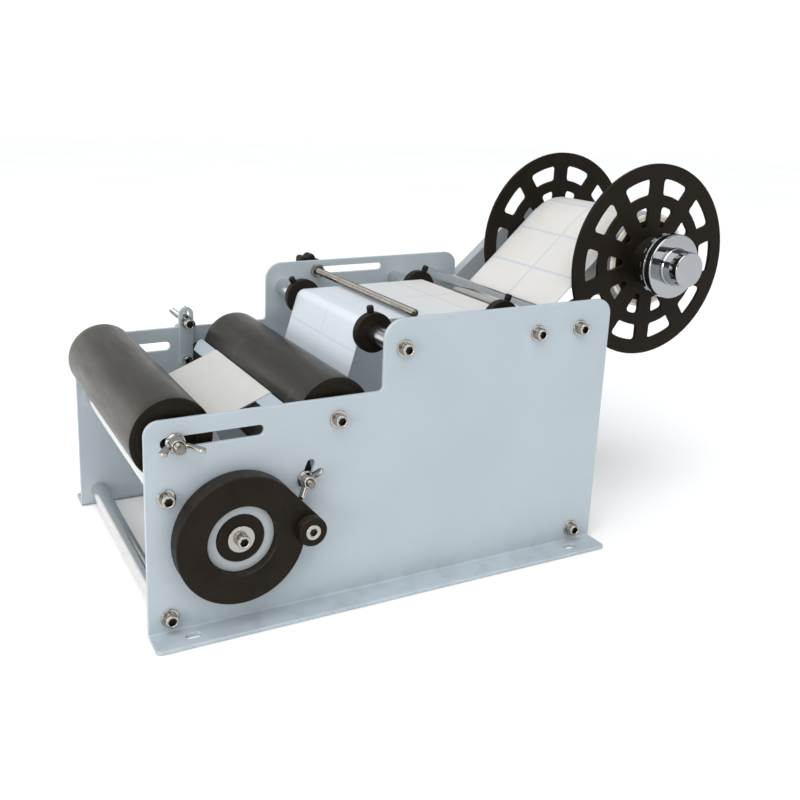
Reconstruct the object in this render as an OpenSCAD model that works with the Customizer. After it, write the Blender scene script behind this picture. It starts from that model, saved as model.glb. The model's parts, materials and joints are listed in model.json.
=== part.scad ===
// Hand-cranked bottle labeling machine.
// X runs across the machine (+X is the crank side), -Y is the front (roller) end,
// +Y the reel end, +Z up. The origin is on the bench, midway between the four base slots.

/* [Frame] */
// Length of each side plate
plate_len = 400; // [398:1:410]
// Thickness of the side plate sheet
plate_t = 3; // [2.5:0.1:3]
// Clear width between the side plates
inner_w = 232; // [232:0.5:233]
// Height of the low front part of the side plates
low_h = 164.5; // [160:0.5:165]
// Height of the high rear part of the side plates
high_h = 219.5; // [216:0.5:222]
// Width of the outward base flange
flange_w = 22; // [18:0.5:26]
// Distance between the base slots across the machine
slot_dx = 260; // [258:1:262]
// Distance between the base slots along the machine
slot_dy = 340; // [320:1:350]
// Width of a base slot
slot_w = 6.5; // [5.5:0.1:7]
// Overall length of a base slot
slot_l = 12; // [9:0.5:16]

/* [Rods] */
// Radius of the tie rods and guide rods
rod_r = 7.5; // [7:0.1:7.5]
// Radius of the cap screw heads
head_r = 5; // [4.5:0.1:5.5]

/* [Rollers] */
// Outer radius of the rubber rollers
roller_r = 30; // [29:0.1:30]
// Thickness of the rubber sleeve
rubber_t = 4; // [3:0.5:5]
// Position of the front roller along the machine
front_y = -178; // [-180:0.5:-176]
// Height of both roller axles
roller_z = 147.4; // [147:0.1:148]

/* [Crank] */
// Radius of the crank wheel
wheel_r = 49; // [47:0.5:49]
// Radius of the take-up drum
drum_r = 26; // [24:0.5:26]

/* [Reel] */
// Radius of the reel discs
disc_r = 88.3; // [86:0.1:88.5]
// Outer radius of the label roll
roll_r = 43.5; // [42.5:0.5:50]

/* [Label web] */
// Width of the label web
web_w = 128; // [110:1:128]
// Thickness of the label web
web_t = 0.4; // [0.3:0.05:0.4]

/* [Guides] */
// Radius of the guide collars
collar_r = 16.5; // [15:0.5:16.5]
// Thickness of the guide collars
collar_t = 7.5; // [6:0.5:7.5]

/* [Hidden] */
$fn = 96;
xi = inner_w / 2;          // inner face of a side plate
xo = xi + plate_t;         // outer face of a side plate
L2 = plate_len / 2;
step_y = -16;              // where the side plates step up
// rod and axle centres as [y, z]
S1 = [-185, 107];
S2 = [-184, 14.3];
S3 = [-53, roller_z];
S4 = [1.3, 196.2];
S5 = [125.6, 196.2];
S6 = [168.6, 196.6];
S7 = [178.3, 14];
RODS = [S1, S2, S4, S5, S6, S7];
CR = [-134.3, 72.2];       // crank axis
LUG = [-83.1, 72.8];       // crank knob axis
RC = [289, 236.6];         // reel axis
ROLL_X0 = -104;            // left end of the rollers
ROLL_X1 = 112;             // right end of the rollers
// front axle slot centres
FS0 = [-184.3, roller_z];
FS1 = [-116.1, roller_z];
// inclined peel slot: lower centre, direction from vertical and length between centres
PA0 = [-81.2, 97.8];
pa_dir = [0.347, 0.938];
pa_len = 18.8;
PST = PA0 + 6.6 * pa_dir;  // peel stud at rest
// hold-down slot in the left plate
HD0 = [37.5, 209.5];
HD1 = [107, 209.5];
// bottle stop
ST = [-97, 170];
// reel arm
arm_a = 40.6;
arm_w = 27;
arm_t = 4;
AB0 = RC - 170 * [cos(arm_a), sin(arm_a)];
AB1 = [180, 144];
AB2 = [150, 118];

// ---- label web route: circles [centre, radius of the web's middle, turn] ----
gap = 0.35;
EC = [-84.9, 153.2];       // centre of the peel plate's nose
N2 = [-131, 135];          // centre of the peel plate's rounded front edge
C_ROLL = [RC, roll_r + gap + web_t / 2, 1];
C_S6 = [S6, rod_r + gap + web_t / 2, -1];
C_S5 = [S5, rod_r + gap + web_t / 2, 1];
C_S4 = [S4, rod_r + gap + web_t / 2, 1];
C_S3 = [S3, roller_r + gap + web_t / 2, -1];
C_E = [EC, 1.3, 1];
C_N = [N2, 1.3, 1];
liner_r = drum_r + 0.9;     // outside of the liner wound on the drum
C_D = [CR, liner_r + gap + web_t / 2, -1];
function tang(a, b) =
  let (d = b[0] - a[0], l = norm(d))
  atan2(d[1], d[0]) - asin((b[2] * b[1] - a[2] * a[1]) / l);
function on(c, th, off) =
  c[0] + (c[1] - c[2] * off) * [cos(th - 90 * c[2]), sin(th - 90 * c[2])];
function sweep(c, t0, t1) =
  let (d = (t1 - t0) * c[2], m = d - 360 * floor(d / 360)) m * c[2];
function arc(c, t0, t1, off) =
  let (s = sweep(c, t0, t1), n = max(1, ceil(abs(s) / 6)))
  [for (i = [0 : n]) on(c, t0 + s * i / n, off)];
TH = [tang(C_ROLL, C_S6), tang(C_S6, C_S5), tang(C_S5, C_S4), tang(C_S4, C_S3),
      tang(C_S3, C_E), tang(C_E, C_N), tang(C_N, C_D)];
function rear_path(off) = concat(
  [on(C_ROLL, TH[0], off)], arc(C_S6, TH[0], TH[1], off), arc(C_S5, TH[1], TH[2], off),
  arc(C_S4, TH[2], TH[3], off), arc(C_S3, TH[3], TH[4], off));
function peel_path(off) = concat(
  [on(C_S3, TH[4], off) + 0.4 * [cos(TH[4]), sin(TH[4])]],
  arc(C_E, TH[4], TH[5], off), arc(C_N, TH[5], TH[6], off), [on(C_D, TH[6], off)]);
function rev(v) = [for (i = [len(v) - 1 : -1 : 0]) v[i]];
peel_slope = TH[5];

paint = [0.72, 0.77, 0.81];
steel = [0.78, 0.77, 0.75];
black = [0.10, 0.09, 0.08];

// ---- helpers ----
module xcyl(x0, x1, r, p) translate([x0, p[0], p[1]]) rotate([0, 90, 0]) cylinder(h = x1 - x0, r = r);
module xcone(x0, x1, r0, r1, p) translate([x0, p[0], p[1]]) rotate([0, 90, 0]) cylinder(h = x1 - x0, r1 = r0, r2 = r1);
module xhex(x0, x1, r, p) translate([x0, p[0], p[1]]) rotate([0, 90, 0]) cylinder(h = x1 - x0, r = r, $fn = 6);
// turned shape about the X direction; points are [radius, x]
module xturn(p, pts) translate([0, p[0], p[1]]) rotate([0, 90, 0]) rotate_extrude() polygon(pts);
// flat shape drawn in [y, z], extruded from x0 to x1
module yz(x0, x1) translate([x0, 0, 0]) rotate([90, 0, 90]) linear_extrude(x1 - x0) children();
module slot2(p, q, r) {
  translate(p) circle(r);
  translate(q) circle(r);
  translate(p) rotate(atan2(q[1] - p[1], q[0] - p[0])) translate([0, -r]) square([norm(q - p), 2 * r]);
}
module left() mirror([1, 0, 0]) children();
// waste to round an outside corner of a flat shape; sy, sz point away from the part
module corner(p, r, sy, sz) translate(p) mirror([sy < 0 ? 1 : 0, 0]) mirror([0, sz < 0 ? 1 : 0])
  difference() { translate([-r, -r]) square(r + 1); translate([-r, -r]) circle(r); }

// ---- side plates ----
module plate_profile() difference() {
  union() {
    translate([-L2, 4]) square([plate_len, low_h - 4]);
    translate([step_y, 4]) square([L2 - step_y, high_h - 4]);
    difference() {
      translate([step_y - 3, low_h - 1]) square([4, 4]);
      translate([step_y - 3, low_h + 3]) circle(3);
    }
  }
  corner([-L2, low_h], 11, -1, 1);
  corner([step_y, high_h], 16, -1, 1);
  corner([L2, high_h], 14, 1, 1);
}
module flange() {
  bt = plate_t + 1;
  difference() {
    translate([0, L2, 0]) rotate([90, 0, 0]) linear_extrude(plate_len) {
      translate([xi + bt, 0]) square([flange_w - 1, plate_t]);
      intersection() {
        translate([xi, 0]) square(bt);
        translate([xi + bt, bt]) difference() { circle(bt); circle(1); }
      }
    }
    for (s = [-1, 1]) {
      translate([slot_dx / 2, s * slot_dy / 2, -1]) linear_extrude(plate_t + 2)
        slot2([0, -(slot_l - slot_w) / 2], [0, (slot_l - slot_w) / 2], slot_w / 2);
      translate([0, 0, -1]) linear_extrude(plate_t + 2) corner([xo + flange_w, s * L2], 4, 1, s);
    }
  }
}
module plate_blank() {
  yz(xi, xo) difference() {
    plate_profile();
    for (s = concat(RODS, [S3])) translate(s) circle(3.3);
    slot2(FS0, FS1, 4.1);
    slot2(PA0, PA0 + pa_len * pa_dir, 3.3);
    translate(CR) circle(11);
  }
  flange();
}
module right_side_plate() color(paint) plate_blank();
module left_side_plate() color(paint) difference() {
  left() plate_blank();
  yz(-xo - 1, -xi + 1) { slot2(HD0, HD1, 3.5); translate([ST[0], 133]) circle(2.55); translate(AB1) circle(3.3); translate(AB2) circle(3.3); }
}

// ---- rods and fasteners ----
module rod(p, r) color(steel) difference() {
  xcyl(-xi, xi, r, p);
  for (m = [0, 1]) mirror([m, 0, 0]) xcyl(xi - 22, xi + 1, 3.05, p);
}
module front_upper_rod() rod(S1, rod_r);
module front_lower_rod() rod(S2, rod_r);
module rear_lower_rod() rod(S7, rod_r);
module rear_top_rod() rod(S6, rod_r);
module front_guide_rod() rod(S4, rod_r);
module rear_guide_rod() rod(S5, rod_r);
module rear_roller_axle() rod(S3, 6);

// cap screw with its head seat at x = 0, head towards +X
module cap(p, len, rs = 3, rh = head_r, hh = 6, hx = 2.887) difference() {
  union() {
    xcyl(-len, 0.2, rs, p);
    xcyl(0, hh - 0.6, rh, p);
    xcone(hh - 0.6, hh, rh, rh - 0.6, p);
  }
  xhex(hh / 2, hh + 1, hx, p);
}
module washer(x0, p, r = 7) difference() { xcyl(x0, x0 + 1.2, r, p); xcyl(x0 - 1, x0 + 3, 3.25, p); }
module cap_screws() color(steel) {
  for (m = [0, 1]) mirror([m, 0, 0]) for (p = concat(RODS, [S3])) translate([xo + 1.2, 0, 0]) cap(p, 20);
  // reel arm screws and reel shaft screw, from outside on the left
  left() for (p = [AB1, AB2]) translate([xo + 1.2, 0, 0]) cap(p, plate_t + arm_t + 1.2);
  left() translate([xi + 1.2, 0, 0]) cap(RC, 20);
  // stop bracket screw, from inside
  translate([-xi + 3, 0, 0]) cap([ST[0], 133], 3 + plate_t, 2.5, 4.25, 5, 2.31);
}
module flat_washers() color(steel) {
  for (m = [0, 1]) mirror([m, 0, 0]) for (p = concat(RODS, [S3])) washer(xo, p);
  left() { washer(xo, AB1); washer(xo, AB2); washer(xi, RC); }
}
module shaft_bushes() color([0.66, 0.52, 0.30]) for (m = [0, 1]) mirror([m, 0, 0]) difference() {
  union() { xcyl(xi, xo + 0.2, 10.98, CR); xcyl(xi - 1.4, xi, 14, CR); }
  xcyl(xi - 4, xo + 3, 8.04, CR);
}

// ---- rollers ----
module sleeve(p) color(black) xturn(p, [[roller_r - rubber_t, ROLL_X0], [roller_r - 1.2, ROLL_X0],
  [roller_r, ROLL_X0 + 1.2], [roller_r, ROLL_X1 - 1.2], [roller_r - 1.2, ROLL_X1], [roller_r - rubber_t, ROLL_X1]]);
// tube with end hubs that seat the bearings
module core(p) color(steel) xturn(p, [[14, ROLL_X0 + 3], [roller_r - rubber_t - 0.03, ROLL_X0 + 3],
  [roller_r - rubber_t - 0.03, ROLL_X1 - 3], [14, ROLL_X1 - 3], [14, ROLL_X1 - 12], [9, ROLL_X1 - 12],
  [9, ROLL_X1 - 18], [20, ROLL_X1 - 22], [20, ROLL_X0 + 22], [9, ROLL_X0 + 18], [9, ROLL_X0 + 12], [14, ROLL_X0 + 12]]);
// end cap with its outer face at x = 0
module end_cap(p) xturn(p, [[9, -3], [roller_r - rubber_t - 0.05, -3], [roller_r - rubber_t - 0.05, -0.6],
  [roller_r - rubber_t - 0.65, 0], [17, 0], [16.4, -1.5], [9, -1.5]]);
module end_caps(p) color(black) {
  translate([ROLL_X1, 0, 0]) end_cap(p);
  translate([ROLL_X0, 0, 0]) mirror([1, 0, 0]) end_cap(p);
}
module bearings(p) color(steel) for (x = [ROLL_X1 - 11.8, ROLL_X0 + 3.8]) difference() {
  xcyl(x, x + 8, 13.95, p);
  xcyl(x - 1, x + 9, 6.03, p);
}
FP = [front_y, roller_z];
module front_roller_sleeve() sleeve(FP);
module front_roller_core() core(FP);
module front_roller_end_caps() end_caps(FP);
module front_roller_bearings() bearings(FP);
module rear_roller_sleeve() sleeve(S3);
module rear_roller_core() core(S3);
module rear_roller_end_caps() end_caps(S3);
module rear_roller_bearings() bearings(S3);
module front_axle() color(steel) {
  xcyl(-xi + 0.6, xi - 0.6, 6, FP);
  xcyl(xi - 1, xo + 14.4, 3.95, FP);
  xcone(xo + 14.4, xo + 15, 3.95, 3.3, FP);
  xcyl(-xo - 15, -xi + 1, 3.95, FP);
}

// wing nut on the X axis, seat at x = 0, wings along Y; tip = [axial, radial] centre of the ear's round end
module wing_nut(bore, k = 1, tip = [18, 13.4], neck = 0) color(steel) difference() {
  union() {
    if (neck > 0) xcyl(-neck, 0.5, 4.2, [0, 0]);
    xcyl(0, 1.6 * k, 7.4 * k, [0, 0]);
    xcone(1.6 * k, 9.5 * k, 6.2 * k, 5.2 * k, [0, 0]);
    w = (tip - [6, 6]) / norm(tip - [6, 6]);
    for (m = [0, 1]) mirror([0, m, 0]) translate([0, 0, -1.4 * k]) linear_extrude(2.8 * k) {
      polygon(k * [[2, 4], [2.6, 6.8], tip + 2.6 * [-w[1], w[0]], tip + 2.6 * [w[1], -w[0]], [10.2, 6], [9, 4]]);
      translate(k * tip) circle(3 * k);
    }
  }
  xcyl(-neck - 1, 30, bore, [0, 0]);
}
module at(x, p, a) translate([x, p[0], p[1]]) rotate([a, 0, 0]) children();
module right_front_wing_nut() at(xo + 0.1, FP, -3) wing_nut(4);
module left_front_wing_nut() left() at(xo + 0.1, FP, 35) wing_nut(4);

// ---- crank and take-up ----
module crank_wheel() color(black) difference() {
  union() {
    xturn(CR, [[0, xo + 2.5], [wheel_r - 1, xo + 2.5], [wheel_r, xo + 3.5], [wheel_r, xo + 15.8], [wheel_r - 1.2, xo + 17], [0, xo + 17]]);
    xcyl(xo + 0.6, xo + 3, 13, CR);
    yz(xo + 13.6, xo + 16.7) {
      translate(LUG) circle(11.2);
      polygon([CR, CR + (wheel_r - 1.5) * [cos(50), sin(50)], LUG + 11.2 * [cos(42.4), sin(42.4)], LUG]);
    }
  }
  // recessed face with a raised boss
  difference() { xcyl(xo + 9.7, xo + 18, 26.2, CR); xcyl(xo, xo + 11.8, 18, CR); }
  xcone(xo + 15.8, xo + 17.1, 26.2, 27.5, CR);
  xcyl(xo, xo + 18, 8.02, CR);
  xcyl(xo, xo + 18, 3.52, LUG);
}
module crank_trim_ring() color([0.74, 0.77, 0.79]) difference() { xcyl(xo + 9.7, xo + 10.9, 26, CR); xcyl(xo + 9, xo + 12, 18.3, CR); }
module crank_washer() color(steel) difference() { xcyl(xo + 11.8, xo + 13.4, 10.2, CR); xcyl(xo + 11, xo + 14, 3.3, CR); }
// centre screw and the bolt that carries the knob
module crank_screws() color(steel) {
  translate([xo + 13.4, 0, 0]) cap(CR, 20);
  difference() {
    union() { xcyl(xo + 13.6, xo + 23, 3.5, LUG); xcyl(xo + 22.6, xo + 25.3, 5.9, LUG); }
    xhex(xo + 23.4, xo + 26, 3.2, LUG);
  }
}
module drive_shaft() color(steel) difference() { xcyl(-xo - 1, xo + 11.3, 8, CR); xcyl(xo - 8, xo + 12, 3.05, CR); }
module take_up_drum() color([0.62, 0.63, 0.64]) {
  difference() { xcyl(-95, 95, drum_r, CR); xcyl(-96, 96, drum_r - 4, CR); }
  for (x = [-94.5, 84.5]) difference() { xcyl(x, x + 10, drum_r - 3.9, CR); xcyl(x - 1, x + 11, 8.02, CR); }
}
module wound_liner() color([0.91, 0.89, 0.85]) difference() { xcyl(-web_w / 2, web_w / 2, liner_r, CR); xcyl(-web_w, web_w, drum_r + 0.05, CR); }
module crank_knob() color(black) difference() {
  xturn(LUG, [[0, xo + 17.3], [10.4, xo + 17.3], [11.2, xo + 18.1], [11.2, xo + 23.8], [10, xo + 25], [0, xo + 25]]);
  xcyl(xo + 17, xo + 28, 3.55, LUG);
  xcyl(xo + 22.3, xo + 28, 6.1, LUG);
}

// ---- peel plate ----
module peel_plate() color(paint) {
  l = norm(N2 - EC);
  xcyl(-106, 113.2, 0.9, EC);
  xcyl(-63, 63, 0.9, N2);
  translate([0, EC[0], EC[1]]) rotate([peel_slope, 0, 0]) translate([0, 0, -0.9])
    linear_extrude(1.8) polygon([[-106, 0], [113.2, 0], [113.2, 4], [91, 13], [63, 13], [63, l], [-63, l], [-63, 13], [-91, 13], [-106, 4]]);
}
module arm_shape(front) {
  polygon(concat([PST + [-8, 0]], front, [[-85.35, 153.9], [-83.9, 153], [-80, 142], PST + [8, 0]]));
  translate(PST) circle(8);
}
// two arms joined by a cross bar, with a block under the plate's front part
module peel_arms() color(black) {
  yz(-107, 114.2) polygon([[-92, 131], [-92, 148.9], [-88.3, 148.9], [-88.3, 131]]);
  yz(-61, 114.2) polygon([[-108, 126], [-108, 142.8], [-91, 149.5], [-91, 126]]);
  yz(113.2, 115.2) arm_shape([[-90.5, 120], [-109, 125], [-109, 143.4]]);
  xcyl(115, xo + 12.5, 3, PST);
  yz(-108, -106) arm_shape([[-92.5, 130], [-92.5, 149.6]]);
  xcyl(-xo - 12.5, -107.8, 3, PST);
}
module right_peel_wing_nut() at(xo + 0.1, PST, 50) wing_nut(3.05, 0.92, [10.6, 12.2]);
module left_peel_wing_nut() left() at(xo + 0.1, PST, 20) wing_nut(3.05, 0.92, [10.6, 12.2]);

// ---- label web ----
module label_web() color([0.91, 0.89, 0.85]) yz(-web_w / 2, web_w / 2)
  polygon(concat(rear_path(web_t / 2), rev(rear_path(-web_t / 2))));
module peel_web() color([0.91, 0.89, 0.85]) yz(-web_w / 2, web_w / 2)
  polygon(concat(peel_path(web_t / 2), rev(peel_path(-web_t / 2))));

// ---- guide collars ----
cx = 64.6;                 // inner face of the right collars
module collar(p, a) color(black) difference() {
  xturn(p, [[rod_r + 0.05, cx], [collar_r - 0.8, cx], [collar_r, cx + 0.8], [collar_r, cx + collar_t - 0.8],
    [collar_r - 0.8, cx + collar_t], [rod_r + 0.05, cx + collar_t]]);
  translate([cx + collar_t / 2, p[0], p[1]]) rotate([a, 0, 0]) translate([0, 0, 3]) cylinder(h = 20, r = 2.05);
}
module thumb(p, a) color(black) translate([cx + collar_t / 2, p[0], p[1]]) rotate([a, 0, 0]) {
  translate([0, 0, rod_r + 0.3]) cylinder(h = collar_r - rod_r, r = 2);
  translate([0, 0, collar_r]) cylinder(h = 5.2, r = 2.9);
  translate([0, 0, collar_r + 5.2]) cylinder(h = 0.6, r1 = 2.9, r2 = 2.3);
}
module front_right_collar() collar(S4, 9);
module front_left_collar() left() collar(S4, 33);
module rear_right_collar() collar(S5, -19);
module rear_left_collar() left() collar(S5, -23);
module front_right_thumb_screw() thumb(S4, 9);
module front_left_thumb_screw() left() thumb(S4, 33);
module rear_right_thumb_screw() thumb(S5, -19);
module rear_left_thumb_screw() left() thumb(S5, -23);

// ---- hold-down rod ----
module hold_down_rod() color(steel) { xcyl(-xo - 22, 72.4, 3.4, HD0); xcone(72.4, 73, 3.4, 2.8, HD0); }
module hold_down_nut() color(steel) difference() {
  xhex(-xi + 0.1, -xi + 6, 6.9, HD0);
  xcyl(-xi - 1, -xi + 9, 3.42, HD0);
}
module star_knob() color(black) difference() {
  union() {
    xcyl(-xo - 13, -xo - 0.2, 7.5, HD0);
    yz(-xo - 27, -xo - 12.5) translate(HD0) { circle(10.6); for (i = [0 : 6]) rotate(77 + i * 360 / 7) translate([10.2, 0]) circle(3.4); }
  }
  xcyl(-xo - 24, -xo + 1, 3.45, HD0);
}

// ---- bottle stop ----
module stop_bracket() color(paint) yz(-xi, -xi + 3) difference() {
  slot2([ST[0], 131], [ST[0], 177], 7);
  translate([ST[0], 133]) circle(2.75);
  slot2([ST[0], 167], [ST[0], 177], 3.3);
}
module stop_screw() color(steel) translate([-xi + 10, 0, 0]) cap(ST, 54);
module stop_nut() color(steel) difference() {
  xhex(-xi + 3.1, -xi + 8, 5.8, ST);
  xcyl(-xi, -xi + 12, 3.02, ST);
}
// the neck reaches over the plate's edge to the bracket
module stop_wing_nut() left() at(xo + 0.3, ST, 62) wing_nut(3.05, 0.8, [14, 12], plate_t + 0.2);

// ---- reel ----
module reel_arm() color([0.68, 0.71, 0.73]) difference() {
  union() {
    yz(-xi, -xi + arm_t) slot2(RC, AB0, arm_w);
    // stiffening lip folded outwards along the upper edge
    yz(-xi - 8, -xi + 1) translate(RC) rotate(180 + arm_a) translate([3, -arm_w + 0.25]) square([89, 3]);
  }
  xcyl(-xi - 10, -xi + 10, 3.3, RC);
  for (p = [AB1, AB2]) xcyl(-xi - 10, -xi + 10, 3.05, p);
}
module reel_shaft() color(steel) difference() {
  union() { xcyl(-xi + arm_t, -70, 16, RC); xcyl(-70.1, 91, 10, RC); xcone(91, 92, 10, 9, RC); }
  xcyl(-xi, -xi + 24, 3.05, RC);
}
// disc windows lie between ten straight spokes; corners are rounded
spoke = 15.4;
wr = 3;
function pol(r, a) = r * [cos(a), sin(a)];
function bend(c, r, a0, a1, n) = [for (i = [0 : n]) c + pol(r, a0 + (a1 - a0) * i / n)];
function wa(r) = 18 - asin((spoke / 2 + wr) / r);
// half outline above the +Y direction of a window from radius r0 to r1
function half_outer(r0, r1) = concat(
  bend([0, 0], r0, 0, wa(r0 + wr), 3),
  bend(pol(r0 + wr, wa(r0 + wr)), wr, 180 + wa(r0 + wr), 108, 4),
  bend(pol(r1 - wr, wa(r1 - wr)), wr, 108, wa(r1 - wr), 4),
  [for (i = [1 : 3]) pol(r1, wa(r1 - wr) * (3 - i) / 3)]);
function half_inner(r1) = concat(
  bend([(spoke / 2 + wr) / sin(18), 0], wr, 180, 108, 4),
  bend(pol(r1 - wr, wa(r1 - wr)), wr, 108, wa(r1 - wr), 4),
  [for (i = [1 : 2]) pol(r1, wa(r1 - wr) * (2 - i) / 2)]);
function both(h) = concat(h, [for (i = [len(h) - 2 : -1 : 1]) [h[i][0], -h[i][1]]]);
module disc_shape() difference() {
  circle(disc_r);
  for (i = [0 : 9]) rotate(36 * i) {
    polygon(both(half_outer(60.5, 75)));
    polygon(both(half_inner(50)));
  }
}
module reel_disc(hub_r, hub_x) difference() {
  union() {
    yz(64.8, 68) translate(RC) disc_shape();
    xcyl(67.9, hub_x, hub_r, RC);
    // plug that centres the core
    difference() { xcyl(50, 65, 37.3, RC); xcyl(49, 66, 33.8, RC); }
    xcyl(50, 65, 15, RC);
  }
  xcyl(40, 90, 10.05, RC);
}
module left_reel_disc() color(black) left() reel_disc(20, 69.7);
module right_reel_disc() color(black) reel_disc(22, 84);
module label_core() color([0.62, 0.50, 0.36]) difference() { xcyl(-64.4, 64.4, 41, RC); xcyl(-66, 66, 37.6, RC); }
module label_roll() color([0.91, 0.89, 0.85]) difference() { xcyl(-web_w / 2 - 0.4, web_w / 2 + 0.4, roll_r, RC); xcyl(-web_w, web_w, 41.05, RC); }
module lock_collar() color([0.85, 0.86, 0.87]) difference() {
  xturn(RC, [[0, 84], [27.5, 84], [28.5, 85], [28.5, 89.4], [27.6, 89.9], [27.6, 90.6], [29, 91.2], [29, 96.7], [28, 97.7], [0, 97.7]]);
  xcyl(83, 99, 10.05, RC);
}
// knob with a spigot that turns in the collar
module lock_knob() color([0.85, 0.86, 0.87]) xturn(RC, [[0, 92.6], [10, 92.6], [10, 98], [17, 98], [17, 99.5],
  [16.2, 100.5], [15.6, 113.8], [14.2, 115.3], [0, 115.3]]);

right_side_plate();
left_side_plate();
front_upper_rod();
front_lower_rod();
rear_lower_rod();
rear_top_rod();
front_guide_rod();
rear_guide_rod();
cap_screws();
flat_washers();
rear_roller_axle();
shaft_bushes();
reel_arm();
reel_shaft();
stop_bracket();
label_web();
peel_plate();
peel_arms();
peel_web();
right_peel_wing_nut();
left_peel_wing_nut();
front_axle();
right_front_wing_nut();
left_front_wing_nut();
front_roller_sleeve();
front_roller_core();
front_roller_end_caps();
front_roller_bearings();
rear_roller_sleeve();
rear_roller_core();
rear_roller_end_caps();
rear_roller_bearings();
crank_wheel();
crank_trim_ring();
crank_washer();
crank_screws();
drive_shaft();
take_up_drum();
wound_liner();
crank_knob();
front_right_collar();
front_left_collar();
rear_right_collar();
rear_left_collar();
front_right_thumb_screw();
front_left_thumb_screw();
rear_right_thumb_screw();
rear_left_thumb_screw();
hold_down_rod();
hold_down_nut();
star_knob();
stop_screw();
stop_nut();
stop_wing_nut();
left_reel_disc();
right_reel_disc();
label_core();
label_roll();
lock_collar();
lock_knob();
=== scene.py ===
import json
import math

import bmesh
import bpy
import numpy as np
from mathutils import Matrix, Vector


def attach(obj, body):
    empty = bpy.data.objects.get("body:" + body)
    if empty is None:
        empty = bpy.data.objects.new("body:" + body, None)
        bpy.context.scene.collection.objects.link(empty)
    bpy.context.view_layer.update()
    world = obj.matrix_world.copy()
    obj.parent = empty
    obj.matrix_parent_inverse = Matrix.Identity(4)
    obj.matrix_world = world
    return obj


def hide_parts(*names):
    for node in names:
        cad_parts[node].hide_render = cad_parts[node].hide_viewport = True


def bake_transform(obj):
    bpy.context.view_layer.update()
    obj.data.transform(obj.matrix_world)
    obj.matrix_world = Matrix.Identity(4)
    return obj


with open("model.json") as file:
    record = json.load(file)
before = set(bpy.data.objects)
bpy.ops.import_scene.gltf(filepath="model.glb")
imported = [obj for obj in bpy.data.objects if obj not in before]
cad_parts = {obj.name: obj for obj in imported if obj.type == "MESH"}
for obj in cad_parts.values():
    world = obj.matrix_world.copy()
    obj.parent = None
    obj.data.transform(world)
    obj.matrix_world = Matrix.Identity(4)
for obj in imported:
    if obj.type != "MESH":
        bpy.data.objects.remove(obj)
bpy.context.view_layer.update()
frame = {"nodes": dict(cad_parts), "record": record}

NODES = frame["nodes"]
SC = bpy.context.scene
MM = 0.001
PI = math.pi

# ------------------------------------------------------------------ geometry data (mm)
XI, XO = 116.0, 119.0
S1, S2, S3 = (-185.0, 107.0), (-184.0, 14.3), (-53.0, 147.4)
S4, S5, S6, S7 = (1.3, 196.2), (125.6, 196.2), (168.6, 196.6), (178.3, 14.0)
RODS = [S1, S2, S4, S5, S6, S7]
FP = (-178.0, 147.4)
CR = (-134.3, 72.2)
LUG = (-83.1, 72.8)
RC = (289.0, 236.6)
PA0, PDIR, PLEN = (-81.2, 97.8), (0.347, 0.938), 18.8
PST = (PA0[0] + 6.6 * PDIR[0], PA0[1] + 6.6 * PDIR[1])
HD0 = (37.5, 209.5)
ST = (-97.0, 170.0)
ARM_A = math.radians(40.6)
AB0 = (RC[0] - 170 * math.cos(ARM_A), RC[1] - 170 * math.sin(ARM_A))
AB1, AB2 = (180.0, 144.0), (150.0, 118.0)
ROLL_X0, ROLL_X1 = -104.0, 112.0
WEB_T, WEB_HW, GAP = 0.4, 64.0, 0.35
ROD_R, ROLLER_R, DRUM_R, ROLL_R = 7.5, 30.0, 26.0, 43.5
LINER_R = DRUM_R + 0.9
EC, N2 = (-84.9, 153.2), (-131.0, 135.0)       # rounded edges of the peel plate


# ------------------------------------------------------------------ route of the web
def tang(a, b):
    (ca, ra, sa), (cb, rb, sb) = a, b
    d = (cb[0] - ca[0], cb[1] - ca[1])
    return math.atan2(d[1], d[0]) - math.asin((sb * rb - sa * ra) / math.hypot(*d))


def on(c, th, off=0.0):
    cc, r, s = c
    t = th - s * PI / 2
    return (cc[0] + (r - s * off) * math.cos(t), cc[1] + (r - s * off) * math.sin(t))


mid = GAP + WEB_T / 2
ROUTE = [(RC, ROLL_R + mid, 1), (S6, ROD_R + mid, -1), (S5, ROD_R + mid, 1), (S4, ROD_R + mid, 1), (S3, ROLLER_R + mid, -1), (EC, 1.3, 1), (N2, 1.3, 1), (CR, LINER_R + mid, -1)]
TH = [tang(a, b) for a, b in zip(ROUTE[:-1], ROUTE[1:])]


def line_pts(p, q, step):
    k = max(1, int(math.hypot(q[0] - p[0], q[1] - p[1]) / step))
    return [(p[0] + (q[0] - p[0]) * i / k, p[1] + (q[1] - p[1]) * i / k) for i in range(1, k)]


def turn(c, t0, t1, step=4.0):
    s = ((t1 - t0) * c[2]) % (2 * PI) * c[2]
    k = max(2, int(math.degrees(abs(s)) / step))
    return [(on(c, t0 + s * i / k), t0 + s * i / k) for i in range(k + 1)]


def route(i0, i1, step=5.0, start_shift=0.0):
    """Middle line of the web from circle i0 to circle i1: [(point, heading)]."""
    out = []
    p = on(ROUTE[i0], TH[i0])
    p = (p[0] + start_shift * math.cos(TH[i0]), p[1] + start_shift * math.sin(TH[i0]))
    out.append((p, TH[i0]))
    for i in range(i0, i1):
        q = on(ROUTE[i + 1], TH[i])
        out += [(x, TH[i]) for x in line_pts(out[-1][0], q, step)]
        if i + 1 < i1 or (i1 == 4 and i + 1 == 4):
            if i + 1 < len(TH):
                out += turn(ROUTE[i + 1], TH[i], TH[i + 1])
        else:
            out.append((q, TH[i]))
    return out



REAR = route(0, 4)
REAR_S = [0.0]
for (q0, _), (q1, _) in zip(REAR[:-1], REAR[1:]):
    REAR_S.append(REAR_S[-1] + math.hypot(q1[0] - q0[0], q1[1] - q0[1]))


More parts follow.
